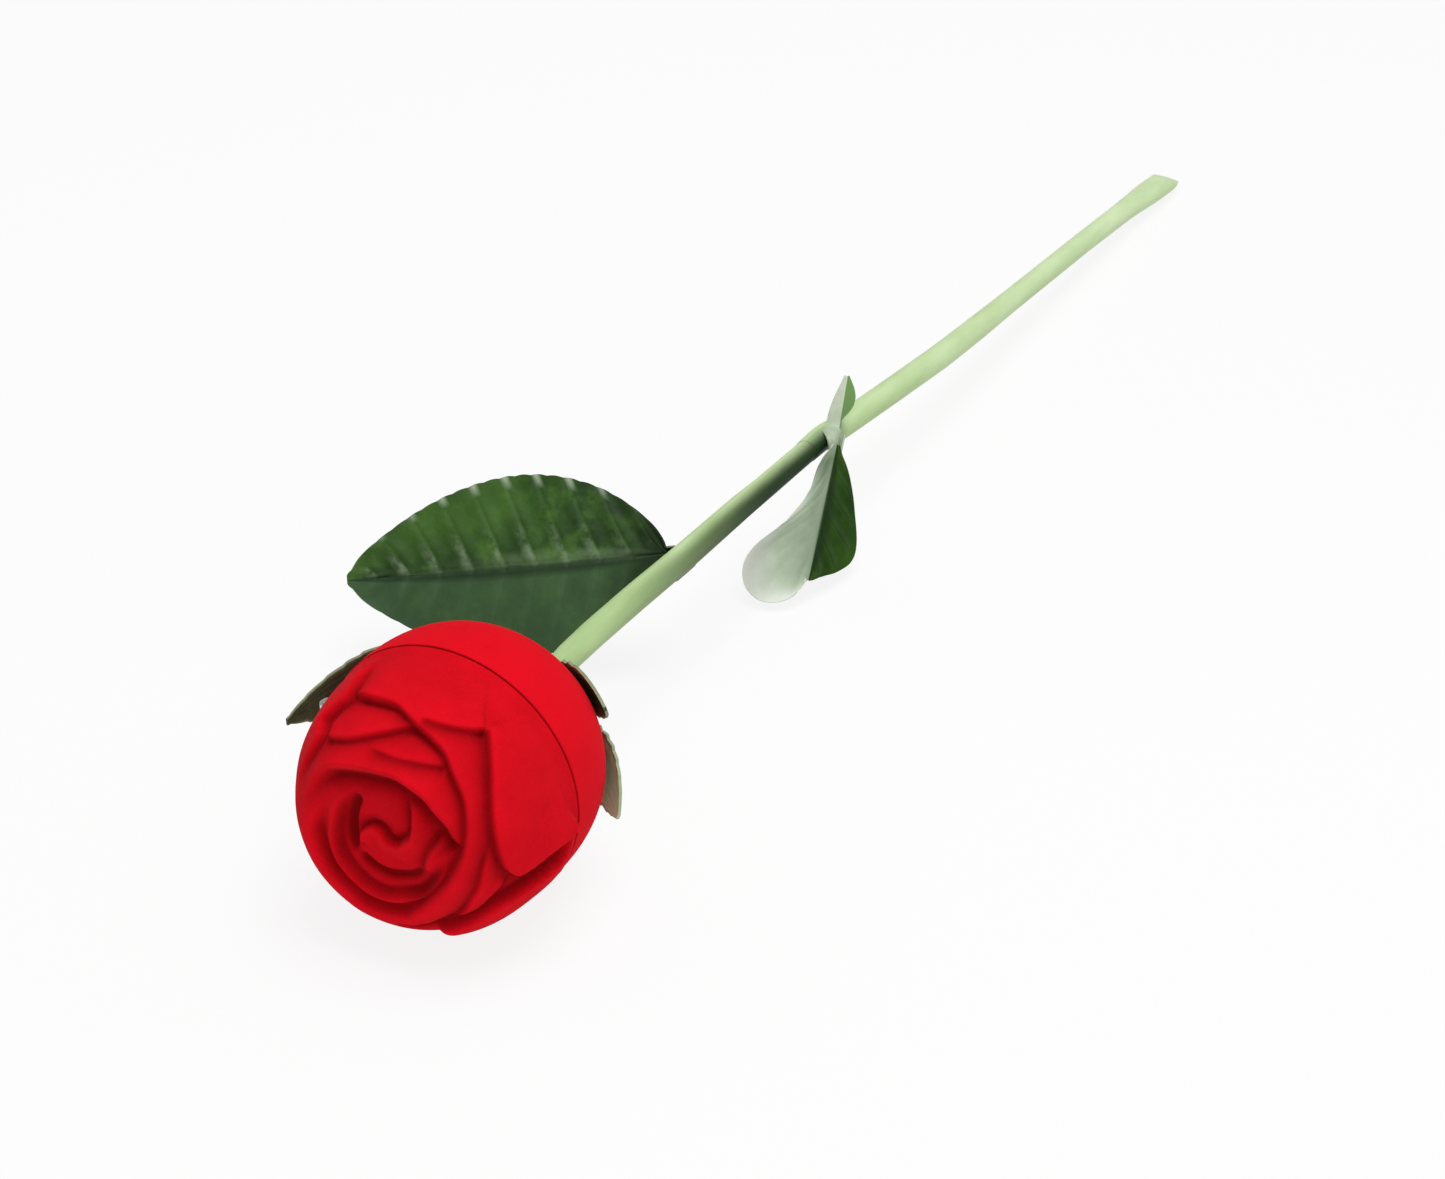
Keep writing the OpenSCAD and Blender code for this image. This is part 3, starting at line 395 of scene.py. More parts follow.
def close_wall(outer, inner):
    """Joins an outer and an inner half shell along their rims into one closed wall."""
    pick(inner)
    edit_all()
    bpy.ops.mesh.flip_normals()
    leave_edit()
    pick(outer, inner)
    bpy.ops.object.join()
    bpy.ops.object.mode_set(mode="EDIT")
    bpy.ops.mesh.select_all(action="DESELECT")
    bpy.ops.mesh.select_mode(type="EDGE")
    bpy.ops.mesh.select_non_manifold()
    bpy.ops.mesh.bridge_edge_loops()
    leave_edit()


def cut_away(piece, cutter):
    """Takes a cutter's room out of a piece."""
    room_cut = piece.modifiers.new("cut", "BOOLEAN")
    room_cut.object = cutter
    room_cut.operation = "DIFFERENCE"
    room_cut.solver = "EXACT"
    pick(piece)
    bpy.ops.object.modifier_apply(modifier="cut")
    bpy.data.objects.remove(cutter)


def box_cutter(low, high):
    """A box between two corners in mm."""
    pick()
    centre = [(a + b) / 2 * mm for a, b in zip(low, high)]
    bpy.ops.mesh.primitive_cube_add(size=1, location=centre)
    bpy.context.object.scale = [(b - a) * mm for a, b in zip(low, high)]
    bpy.ops.object.transform_apply()
    return bpy.context.object


def rod_cutter(radius, length, place, turn=(0, 0, 0)):
    """A round bar about a place in mm, along Z unless it is turned."""
    pick()
    bpy.ops.mesh.primitive_cylinder_add(vertices=48, radius=radius * mm, depth=length * mm,
                                        location=[c * mm for c in place], rotation=turn)
    bpy.ops.object.transform_apply()
    return bpy.context.object


def shade_smooth(piece, angle):
    """Shades a piece smooth where its faces meet at less than an angle in degrees."""
    pick(piece)
    bpy.ops.object.shade_smooth_by_angle(angle=math.radians(angle))


def flatten_pad(points, leg_x):
    """Flattens the inside of a shell where a leaf of the hinge lies on it."""
    pad = (np.abs(points[:, 2]) < PAD_HALF) & (np.abs(points[:, 1]) < PAD_REACH) & (points[:, 0] < 0)
    points[pad, 0] = np.maximum(points[pad, 0], leg_x)


def recess_for_hinge(shell, leg_x, low_y, high_y):
    """Room in a shell's rim for the hinge's barrel and for the leaf that reaches in from it."""
    half = HINGE_W / 2 + 0.2
    cut_away(shell, rod_cutter(BARREL_R + 0.3, HINGE_W + 1.4, (PIN_X, PIN_Y, 0)))
    cut_away(shell, box_cutter((PIN_X, low_y, -half), (leg_x + 0.6, high_y, half)))


petal_lid, psi, bearing = half_ball("petal_lid", 320, 200)
psi = psi * (1 - SEAM_GAP / BUD_R * 2 / math.pi)
degrees = np.degrees(psi)
relief, crease_shade_mask, rim_highlight_mask = petal_relief(np.stack([degrees * np.cos(bearing), degrees * np.sin(bearing)], -1))
calm = smooth_unit(np.maximum(0.2, (90 - degrees) / 6))
dish = DISH_DEPTH * smooth_unit(1 - degrees / DISH_REACH) - smooth_unit(1 - degrees / HEART_REACH)
reach = outline_reach(psi, LID_H, BUD_R - 0.1, LID_POWER) - dish + relief * calm
place_points(petal_lid, laid(reach, psi, bearing))
# Painted shade: the flock's colour darkens along the creases between the petals
store(petal_lid, "crease", crease_shade_mask * np.minimum(1, calm * 1.5))
# Painted highlights: the flock's colour lightens along the petals' rims
store(petal_lid, "rim", rim_highlight_mask * np.minimum(1, calm * 1.5))
# Painted shade: the whole lid's flock is a little darker than the cup's
store(petal_lid, "petal", 1)

lid_inside, psi, bearing = half_ball("lid_inside", 320, 16)
psi = psi * (1 - SEAM_GAP / LID_IN_R * 2 / math.pi)
points = laid(outline_reach(psi, LID_IN_H, LID_IN_R, LID_POWER), psi, bearing)
flatten_pad(points, LID_LEG_X)
place_points(lid_inside, points)
store(lid_inside, "crease", 0)
close_wall(petal_lid, lid_inside)
recess_for_hinge(petal_lid, LID_LEG_X, -0.8, 0.7)
shade_smooth(petal_lid, 50)


def velvet_finish(name, pile, deep, crease=True):
    """Short flock: even matt colour, fine speckle and a soft nap; with crease, painted shade in the creases and
    over the lid, painted highlights on the rims.
    """
    finish, here = new_finish(name, Specular_IOR_Level=0.04, Sheen_Weight=0.05, Sheen_Roughness=0.5,
                              Sheen_Tint=(1, 0.15, 0.2, 1))
    nap = here.grain(160, 4, 0.6)
    speckle = here.grain(5200, 2, 0.7)
    shade = (nap - 0.5) * 0.5 + (speckle - 0.5) * 0.5
    if crease:
        # Painted shade from the crease and petal marks, painted highlights from the rim mark
        shade = (shade + here.attribute("crease") * 1.1 - here.attribute("rim") * 0.3
                 + here.attribute("petal") * 0.22)
    shade.ramp((0, pile), (1, deep)).feeds("Base Color")
    (nap * 0.08 + 0.88).feeds("Roughness")
    (speckle * 0.7 + here.grain(1400, 3) * 0.3).relief(0.00012, 0.5).feeds("Normal")
    return finish


# The deep colour is the dark end of the flock's mottling and of its painted crease shade
bud_velvet = velvet_finish("bud_velvet", (0.76, 0.004, 0.013), (0.24, 0.001, 0.003))
put_on(petal_lid, bud_velvet)
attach(petal_lid, "lid")
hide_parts("lid_shell")


# ---- Cup ----
# The other half of the bud: a plain round moulded cup with the same flock.
# It is recessed at its rim for the hinge and bored at its bottom for the plug.

CUP_H, CUP_IN_H, CUP_IN_R, CUP_FLOOR = 23.0, 21.4, 21.4, 20.78
PLUG_R = 4.2
velvet_cup, psi, bearing = half_ball("velvet_cup", 256, 72)
reach = outline_reach(psi, CUP_H, BUD_R, CUP_POWER)
place_points(velvet_cup, laid(reach, psi, bearing, 1))
# Painted shade along the cup's rim at the seam
store(velvet_cup, "crease", 0.25 * smooth_unit(1 - (np.pi / 2 - psi) * BUD_R / 0.5))

cup_inside, psi, bearing = half_ball("cup_inside", 256, 24)
points = laid(outline_reach(psi, CUP_IN_H, CUP_IN_R, CUP_POWER), psi, bearing, 1)
points[:, 1] = np.minimum(points[:, 1], CUP_FLOOR)
flatten_pad(points, CUP_LEG_X)
place_points(cup_inside, points)
store(cup_inside, "crease", 0)
close_wall(velvet_cup, cup_inside)
recess_for_hinge(velvet_cup, CUP_LEG_X, -0.5, 0.5)
# The snap spring's notch and the plug's bore
cut_away(velvet_cup, box_cutter((PIN_X - 2, -2, -1.8), (CUP_LEG_X + 2, 1.9, 1.8)))
cut_away(velvet_cup, rod_cutter(PLUG_R + 0.05, 5, (0, CUP_H - 1, 0), (math.pi / 2, 0, 0)))
shade_smooth(velvet_cup, 50)
put_on(velvet_cup, bud_velvet)
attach(velvet_cup, "rose")
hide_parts("cup_shell")


# ---- Linings ----
# Thin plastic linings formed to the shells and glued in, flocked dark red.
# The cup's lining has a lip that stands up into the lid.

lining_flock = velvet_finish("lining_flock", (0.36, 0.004, 0.010), (0.16, 0.001, 0.004), crease=False)
for name in ("lid_lining", "cup_lining"):
    put_on(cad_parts[name], lining_flock)


# ---- Foam block and cushion board ----
# A disc of cut open-cell foam carries a disc of grey card, on which the two
# velvet rolls are glued. Both are hidden once the rolls are in.


def copy_of_node(node, name):
    """A copy of a CAD solid with its loose triangles merged, as a start for a soft piece."""
    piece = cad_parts[node].copy()
    piece.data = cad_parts[node].data.copy()
    piece.name = name
    for key in list(piece.keys()):
        del piece[key]
    bpy.context.scene.collection.objects.link(piece)
    piece.parent = None
    piece.matrix_world = Matrix.Identity(4)
    pick(piece)
    edit_all()
    bpy.ops.mesh.remove_doubles(threshold=1e-6)
    leave_edit()
    return piece


def remeshed(piece, voxel):
    """Even faces of about the given size in mm."""
    net = piece.modifiers.new("net", "REMESH")
    net.mode = "VOXEL"
    net.voxel_size = voxel * mm
    bpy.ops.object.modifier_apply(modifier="net")


def points_of(piece):
    """A piece's points in mm."""
    return read_points(piece.data) / mm


foam_disc = copy_of_node("foam_block", "foam_disc")
remeshed(foam_disc, 0.7)
place_points(foam_disc, points_of(foam_disc) * (0.995, 1, 0.995))
shade_smooth(foam_disc, 50)
cut_foam, here = new_finish("cut_foam", Specular_IOR_Level=0.1)
cells = here.node("ShaderNodeTexVoronoi", {}, {"Vector": here, "Scale": 1900})
cells.ramp((0.05, (0.50, 0.46, 0.36)), (0.5, (0.80, 0.76, 0.66))).feeds("Base Color")
(cells * 0.1 + 0.85).feeds("Roughness")
cells.relief(0.0003, 0.8).feeds("Normal")
put_on(foam_disc, cut_foam)
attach(foam_disc, "rose")
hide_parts("foam_block")

grey_card, here = new_finish("grey_card", Specular_IOR_Level=0.15)
fibre = here.stretched((1, 4, 1)).grain(900, 5, 0.7)
fibre.ramp((0.3, (0.42, 0.39, 0.34)), (0.7, (0.62, 0.59, 0.53))).feeds("Base Color")
(fibre * 0.2 + 0.7).feeds("Roughness")
fibre.relief(0.00006, 0.5).feeds("Normal")
put_on(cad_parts["cushion_board"], grey_card)


# ---- Ring cushion ----
# Two rolls of foam wrapped in red velvet stand side by side in the round room
# of the cup, and the ring's band is pushed into the slit between them.


def stuffed(piece, cap, moments=20):
    """Swells a closed pad with a little pressure; no point moves more than the cap in mm."""
    before = points_of(piece)
    pad_cloth = piece.modifiers.new("swell", "CLOTH")
    pad_cloth.settings.quality = 6
    pad_cloth.settings.use_pressure = True
    pad_cloth.settings.uniform_pressure_force = 4
    pad_cloth.settings.effector_weights.gravity = 0
    pad_cloth.point_cache.frame_start, pad_cloth.point_cache.frame_end = 1, moments
    for moment in range(1, moments + 1):
        bpy.context.scene.frame_set(moment)
    dressed = piece.evaluated_get(bpy.context.evaluated_depsgraph_get()).data
    moved = read_points(dressed) / mm - before
    piece.modifiers.remove(pad_cloth)
    bpy.context.scene.frame_set(1)
    far = np.linalg.norm(moved, axis=1, keepdims=True)
    return before + moved * np.minimum(1, cap / np.maximum(far, 1e-6))


def subdivide_once(piece):
    smooth = piece.modifiers.new("smooth", "SUBSURF")
    smooth.levels = smooth.render_levels = 1
    bpy.ops.object.modifier_apply(modifier="smooth")


cushion_velvet, here = new_finish("cushion_velvet", Specular_IOR_Level=0.1, Sheen_Weight=0.25,
                                  Sheen_Roughness=0.4, Sheen_Tint=(1, 0.3, 0.3, 1))
nap = here.grain(260, 4, 0.6)
pile = here.grain(6500, 2, 0.7)
((nap - 0.5) * 0.9 + (pile - 0.5) * 0.5 + 0.4).ramp((0, (0.52, 0.004, 0.012)),
                                                   (1, (0.26, 0.001, 0.005))).feeds("Base Color")
(nap * 0.15 + 0.8).feeds("Roughness")
(pile * 0.6 + nap * 0.4).relief(0.0002, 0.6).feeds("Normal")

for node, name in (("cushion_roll_left", "velvet_roll_left"), ("cushion_roll_right", "velvet_roll_right")):
    roll = copy_of_node(node, name)
    low, high = (np.array(c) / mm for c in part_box(node))
    middle = (low + high) / 2
    remeshed(roll, 0.9)
    place_points(roll, middle + (points_of(roll) - middle) * (1 - 0.7 / (high - low)))
    place_points(roll, stuffed(roll, 0.4))
    subdivide_once(roll)
    place_points(roll, np.clip(points_of(roll), low, high))
    shade_smooth(roll, 180)
    put_on(roll, cushion_velvet)
    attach(roll, "rose")
    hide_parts(node)


# ---- Hinge ----
# A small stamped and plated steel hinge: two leaves with knuckles on a pin,
# each held by two rivets, and a flat spring that snaps the lid open or shut.

plated_steel, here = new_finish("plated_steel", Metallic=1.0)
streak = here.stretched((1, 1, 0.05)).grain(9000, 3, 0.6)
smudge = here.grain(500, 4, 0.6)
(streak * 0.5 + smudge * 0.5).ramp((0.3, (0.55, 0.54, 0.51)),
                                   (0.7, (0.72, 0.71, 0.68))).feeds("Base Color")
(streak * 0.12 + smudge * 0.2 + 0.18).feeds("Roughness")
streak.relief(0.00001, 0.4).feeds("Normal")
for name in ("hinge_leaf_cup", "hinge_leaf_lid", "hinge_pin", "snap_spring", "rivets_cup", "rivets_lid"):
    put_on(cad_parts[name], plated_steel)


# ---- Calyx ----
# One piece of soft dark green plastic: a dish on the cup, a swollen hip over
# the plug, and five toothed sepals that lie along the cup or curl off it.

CALYX_GAP, CALYX_T, HIP_LEN = 0.2, 0.9, 9.0
HIP_R, HIP_END = PLUG_R + 1.4, CUP_H + HIP_LEN
UPPER_R, LOWER_R = 2.2, 1.95


def turned(name, rings, sides=72):
    """Piece turned about the bud's axis from rings of (radius, place along it) that close on themselves."""
    pick()
    bpy.ops.mesh.primitive_circle_add(vertices=sides, radius=1)
    piece = bpy.context.object
    piece.name = name
    edit_all()
    for i, (radius, along) in enumerate(rings):
        if i:
            bpy.ops.mesh.extrude_edges_move()
        net = bmesh.from_edit_mesh(piece.data)
        for spot in (v for v in net.verts if v.select):
            around = math.atan2(spot.co.z, spot.co.x) if i else math.atan2(spot.co.y, spot.co.x)
            spot.co = Vector((radius * math.cos(around), along, radius * math.sin(around))) * mm
        bmesh.update_edit_mesh(piece.data)
    bpy.ops.mesh.select_all(action="SELECT")
    bpy.ops.mesh.remove_doubles(threshold=1e-6)
    bpy.ops.mesh.normals_make_consistent(inside=False)
    leave_edit()
    return piece


def sheet_grid(name, along, across, shape, thickness):
    """A sheet of so many faces along and across, shaped by a function of (share, side), with a wall.
    The share runs from 0 at the foot to 1 at the tip, and the side from -1 to 1 across."""
    pick()
    bpy.ops.mesh.primitive_grid_add(x_subdivisions=along, y_subdivisions=across, size=2)
    piece = bpy.context.object
    piece.name = name
    flat = read_points(piece.data)
    share, side = (flat[:, 0] + 1) / 2, flat[:, 1]
    store(piece, "share", share)
    store(piece, "side", side)
    place_points(piece, shape(share, side))
    wall = piece.modifiers.new("wall", "SOLIDIFY")
    wall.thickness = thickness * mm
    wall.offset = 0
    bpy.ops.object.modifier_apply(modifier="wall")
    return piece


def joined(name, pieces):
    """One piece from several."""
    pick(*pieces)
    bpy.ops.object.join()
    pieces[0].name = name
    return pieces[0]


def ring_off_cup(angle, gap):
    """Ring at so many degrees from the bud's bottom, a gap off the cup."""
    psi = math.radians(angle)
    reach = float(outline_reach(psi, CUP_H + gap, BUD_R + gap, CUP_POWER))
    return reach * math.sin(psi), reach * math.cos(psi)


dish_rings = [ring_off_cup(angle, CALYX_GAP + CALYX_T) for angle in range(31, 7, -2)]
hip_rings = [(HIP_R + 0.5, CUP_H + 1.3), (HIP_R + 0.1, CUP_H + 2.0), (HIP_R + 0.1, CUP_H + 3.2),
             (HIP_R + 0.15, CUP_H + 4.3), (HIP_R - 0.1, CUP_H + 5.2), (HIP_R - 0.7, CUP_H + 6.2),
             (UPPER_R + 1.9, CUP_H + 7.2), (UPPER_R + 1.3, CUP_H + 8.0), (UPPER_R + 0.9, HIP_END - 0.3),
             (UPPER_R + 0.5, HIP_END), (UPPER_R + 0.08, HIP_END), (UPPER_R + 0.08, CUP_H + 5.2),
             (PLUG_R + 0.08, CUP_H + 5.0), (PLUG_R + 0.08, CUP_H + 0.25)]
under_rings = [ring_off_cup(angle, CALYX_GAP) for angle in range(12, 32, 2)]
calyx_rings = [ring for ring in dish_rings if ring[0] > HIP_R + 0.9] + hip_rings + under_rings
calyx_dish = turned("calyx_dish", calyx_rings + [calyx_rings[0]])

# Degrees from the cup's bottom to each sepal's foot, and for each its bearing there, turn to the tip, reach
# up the cup, flare, half width, teeth and paleness
SEPAL_FOOT = 24
SEPALS = ((-22, 4, 66, 2.6, 4.4, 9, 1.0), (32, -6, 56, 1.2, 3.8, 8, 0.2), (100, 6, 36, 0.6, 4.0, 5, 0.2),
          (152, 30, 88, 8.6, 4.6, 11, 0.0), (232, 8, 58, 1.2, 4.4, 8, 0.5))


def sepal_shape(bearing, turn, reach_up, flare, half, teeth):
    """Gives the places on one sepal, which follows the cup, flares off it and has a toothed edge."""
    def shape(share, side):
        psi = np.radians(SEPAL_FOOT + (reach_up - SEPAL_FOOT) * share)
        saw = (share * teeth) % 1
        belly = np.sin(np.radians(np.minimum(178, 20 + 160 * share))) ** 0.8
        width = half * belly * (1 + 0.12 * saw) + 0.12
        cupped = 0.5 * side ** 2 - 0.35 * np.abs(side) ** 0.5 + 0.15 * np.sin(9 * share + 3 * side)
        reach = (outline_reach(psi, CUP_H + CALYX_GAP, BUD_R + CALYX_GAP, CUP_POWER) + 0.55
                 + np.maximum(0, cupped * 0.4) + flare * share * share)
        radius = np.maximum(4, reach * np.sin(psi))
        width = width * np.where(side < 0, 1.7 - 0.45 * share + 0.06 * flare * share ** 3, 1)
        around = np.radians(bearing + turn * share) - side * width / radius
        return np.stack([radius * np.cos(around), reach * np.cos(psi), radius * np.sin(around)], -1)
    return shape


sepals = []
for *shape, paleness in SEPALS:
    sepals.append(sheet_grid("sepal", 66, 14, sepal_shape(*shape), 0.5))
    store(sepals[-1], "pale", paleness)
store(calyx_dish, "pale", 0.2)
store(calyx_dish, "share", 0)
store(calyx_dish, "side", 0)
green_calyx = joined("green_calyx", [calyx_dish] + sepals)
shade_smooth(green_calyx, 50)

sepal_green, here = new_finish("sepal_green", Specular_IOR_Level=0.35)
share, side, pale = here.attribute("share"), here.attribute("side"), here.attribute("pale")
out = abs(side)
mottle = here.grain(420, 5, 0.65)
tone = mottle * 0.8 + share * 0.1 + out ** 5 * 0.6 + pale * share.ramp((0.15, 0.1), (0.5, 0.75)) - 0.15
tone = tone.ramp((0.15, (0.020, 0.024, 0.006)), (0.55, (0.060, 0.085, 0.028)),
                 (0.95, (0.26, 0.30, 0.17)))
pale_sepal = pale.ramp((0.5, 0), (1, 1)) * out.ramp((0.8, 1), (0.97, 0.3))
pale_sepal.blend(tone, (0.44, 0.66, 0.40)).feeds("Base Color")
(mottle * 0.25 + 0.42).feeds("Roughness")
((side * 16).sine() * 0.25 + mottle).relief(0.00025, 0.5).feeds("Normal")
put_on(green_calyx, sepal_green)
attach(green_calyx, "rose")
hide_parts("calyx")


# ---- Stem ----
# A steel wire runs from the plug through two moulded plastic tubes: the
# thicker one kinks down out of the calyx, the thinner one ends in a slant cut.


def falling_way(fall):
    """Direction to +Y that falls by an angle."""
    return np.array((0, math.cos(fall), -math.sin(fall)))


KINK = np.array((0, HIP_END + 1.5, 0))
UPPER_FALL, UPPER_LEN, LOWER_LEN = math.radians(2), 92.0, 159.0
UPPER_WAY = falling_way(UPPER_FALL)
BEND = KINK + UPPER_LEN * UPPER_WAY
LOWER_FALL = math.asin((BEND[2] + BUD_R - LOWER_R) / LOWER_LEN)
LOWER_WAY = falling_way(LOWER_FALL)
STEM_END = BEND + LOWER_LEN * LOWER_WAY


def tube_along(name, way, radii, sides=40):
    """A tube whose rings of the given radii stand on the points of a way that runs to +Y."""
    pick()
    bpy.ops.mesh.primitive_cylinder_add(vertices=sides, radius=1, depth=1, end_fill_type="NGON")
    piece = bpy.context.object
    piece.name = name
    ways = np.gradient(way, axis=0)
    ways /= np.linalg.norm(ways, axis=1, keepdims=True)
    bpy.ops.object.mode_set(mode="EDIT")
    net = bmesh.from_edit_mesh(piece.data)
    round_about = sorted(net.verts, key=lambda v: math.atan2(v.co.y, v.co.x))
    ends = {0: [v for v in round_about if v.co.z < 0], len(way) - 1: [v for v in round_about if v.co.z > 0]}
    bmesh.ops.delete(net, geom=[f for f in net.faces if len(f.verts) == 4], context="FACES_ONLY")
    rings = []
    for i in range(len(way)):
        ring = ends.get(i) or [net.verts.new((0, 0, 0)) for _ in range(sides)]
        across = Vector((1, 0, 0))
        upward = across.cross(Vector(ways[i]))
        for k, spot in enumerate(ring):
            around = 2 * math.pi * k / sides
            side = across * math.cos(around) + upward * math.sin(around)
            spot.co = (Vector(way[i]) + side * float(radii[i])) * mm
        rings.append(ring)
    for first, second in zip(rings, rings[1:]):
        for k in range(sides):
            after = (k + 1) % sides
            net.faces.new((first[k], first[after], second[after], second[k]))
    bmesh.update_edit_mesh(piece.data)
    bpy.ops.mesh.select_all(action="SELECT")
    bpy.ops.mesh.normals_make_consistent(inside=False)
    leave_edit()
    return piece


# How the soft stem really runs: place along Y, radius there, and how far it bows up and to -X
STEM_FORM = ((24, 2.2, 0), (32, 2.2, 0.42), (37, 2.35, 0.8), (46, 2.42, 0.95), (60, 2.42, 0.85), (77, 2.36, 0.5),
             (97, 2.22, 0.4), (105, 2.1, 0.2), (120, 2.05, 0.02), (127, 2.08, 0), (134, 2.36, -0.3),
             (158, 2.38, -0.75), (174, 2.38, -0.98), (190, 2.32, -0.8), (205, 2.15, -0.5), (221, 2.12, -0.26),
             (240, 2.1, 0), (262, 2.14, 0.1), (284, 2.0, 0))
FORM_Y, FORM_R, FORM_BOW = np.array(STEM_FORM).T
BOW_X, BOW_Z = -0.79, 0.61
LIFT_Y, LIFT_LEN = 200, 80


def stem_radius(way):
    """The stem's radius at each point of a way."""
    return np.interp(way[:, 1], FORM_Y, FORM_R)


def bowed(way):
    """A way moved by the stem's bow, and near its end lifted by what the stem is thicker than its seat."""
    way = np.array(way, float)
    bow = np.interp(way[:, 1], FORM_Y, FORM_BOW)
    lift = smooth_unit((way[:, 1] - LIFT_Y) / LIFT_LEN) * (stem_radius(way) + 0.2 - LOWER_R)
    return way + bow[:, None] * (BOW_X, 0, BOW_Z) + lift[:, None] * (0, 0, 1)


def smooth_way(corners, soft, step=2.0):
    """Points along straight runs between corners, with the corners rounded over a soft length."""
    points = []
    for a, b in zip(corners, corners[1:]):
        count = max(2, int(np.linalg.norm(b - a) / step))
        points += [a + (b - a) * i / count for i in range(count)]
    points = np.array(points + [corners[-1]])
    for _ in range(soft):
        points[1:-1] = (points[:-2] + 2 * points[1:-1] + points[2:]) / 4
    return points


upper_way = bowed(smooth_way([np.array((0, 22.5, 0)), KINK, BEND], 2))
upper_stem = tube_along("upper_stem", upper_way, stem_radius(upper_way))
lower_way = bowed(smooth_way([BEND + 0.1 * LOWER_WAY, STEM_END + 2 * LOWER_WAY], 0))
lower_stem = tube_along("lower_stem", lower_way, stem_radius(lower_way))

# The pliers squash the end from here on by this share, and cut it on two slants
SQUASH_Y, SQUASH_LEN, SQUASH, CUT_ANGLE = 258, 18, 0.42, math.radians(40)
points = points_of(lower_stem)
middle = np.interp(points[:, 1], lower_way[:, 1], lower_way[:, 0])
points[:, 0] = middle + (points[:, 0] - middle) * (
    1 + SQUASH * smooth_unit((points[:, 1] - SQUASH_Y) / SQUASH_LEN))
place_points(lower_stem, points)
cut_turn = LOWER_FALL + math.pi / 2 - CUT_ANGLE
corner = np.array((0.72, -0.08, -0.69))
for place, facing in ((STEM_END, (0, math.cos(cut_turn), math.sin(cut_turn))),
                      (STEM_END + 1.2 * LOWER_WAY + 0.8 * corner, 0.94 * corner + 0.34 * LOWER_WAY)):
    pick(lower_stem)
    edit_all()
    bpy.ops.mesh.bisect(plane_co=place * mm, plane_no=facing, clear_outer=True, use_fill=True)
    leave_edit()


def store_lit(tube, way):
    """Keeps which way each place on a tube faces, for painted light and shade: 1 is up and to -X, and -1 is down
    and to +X.
    """
    points = points_of(tube)
    off_x, off_z = (points[:, k] - np.interp(points[:, 1], way[:, 1], way[:, k]) for k in (0, 2))
    store(tube, "lit", (BOW_X * off_x + BOW_Z * off_z) / UPPER_R)


store_lit(upper_stem, upper_way)
store_lit(lower_stem, lower_way)

stem_green, here = new_finish("stem_green", Specular_IOR_Level=0.12)
place = here.node("ShaderNodeSeparateXYZ", {}, {0: here}, 1)
patch = here.stretched((1, 0.25, 1)).grain(260, 4, 0.55)
fine = here.stretched((1, 0.1, 1)).grain(3000, 3, 0.6)
lit = here.attribute("lit")
# The tone is paler towards the stem's end; the lit mark adds a little painted light on the upper side
pale = place * 1.7 + patch * 0.6 + lit * 0.06 + 0.06
tone = pale.ramp((0, (0.30, 0.44, 0.18)), (0.45, (0.47, 0.64, 0.30)), (1, (0.76, 0.92, 0.58)))
# Painted shade down the stem's lower side, strongest between the two leaves, near black green at its edge
shaded_side = (lit * 0.5 + patch * 0.12 + 0.44).ramp((0.22, 1), (0.38, 0.97), (0.5, 0.87), (0.60, 0.72),
                                                      (0.675, 0.54), (0.775, 0.35), (0.9, 0))
painted_underside_shade = place.ramp((0.044, 0), (0.06, 0.35), (0.077, 0.72), (0.092, 0.92), (0.103, 1), (0.1265, 1),
                     (0.131, 0)) * shaded_side
painted_underside_shade.blend(tone, (0.012, 0.034, 0.009)).feeds("Base Color")
(patch * 0.2 + 0.36).feeds("Roughness")
(fine * 0.6 + patch * 0.4).relief(0.0001, 0.35).feeds("Normal")
for piece, node in ((upper_stem, "stem_tube_upper"), (lower_stem, "stem_tube_lower")):
    shade_smooth(piece, 40)
    put_on(piece, stem_green)
    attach(piece, "rose")
    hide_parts(node)
put_on(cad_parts["stem_plug"], stem_green)

drawn_wire, here = new_finish("drawn_wire", Metallic=1.0)
streak = here.stretched((1, 0.05, 1)).grain(7000, 3, 0.6)
streak.ramp((0.3, (0.34, 0.34, 0.34)), (0.7, (0.52, 0.51, 0.50))).feeds("Base Color")
(streak * 0.2 + 0.3).feeds("Roughness")
put_on(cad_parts["stem_wire"], drawn_wire)


# ---- Large leaf ----
# A cut leaf of glossy dark green sheet, pressed with a midrib and side veins,
# glued on a moulded rib whose saddle grips the stem from behind.


def turned_by(points, angles):
    """Points in mm turned about X, then Y, then Z by degrees."""
    x, y, z = (math.radians(a) for a in angles)
    turn = Matrix.Rotation(z, 3, "Z") @ Matrix.Rotation(y, 3, "Y") @ Matrix.Rotation(x, 3, "X")
    return points @ np.array(turn).T


def pressed_veins(share, out, veins, depth, half):
    """Height in mm of a leaf's soft swells between veins, its pressed veins and its midrib."""
    phase = veins * share - 0.9 * out
    off_vein = np.abs((phase + 0.5) % 1 - 0.5)
    return (0.22 * np.sin(np.pi * out) * np.cos(2 * np.pi * phase)
            - depth * np.exp(-(off_vein / 0.07) ** 2) * np.sin(np.pi * np.minimum(1, out * 1.1)) ** 0.5
            - 0.45 * np.exp(-(out * half / 0.7) ** 2))


BIG_LEN, BIG_HALF, BIG_DROOP, BIG_VEINS = 55, 15.5, 3, 10
BIG_SEAT = KINK + 42 * UPPER_WAY
BIG_BASE = BIG_SEAT + (-UPPER_R - 0.7 - 0.5, 0, 0.6)
BIG_TURN = (-58, 4, 211)


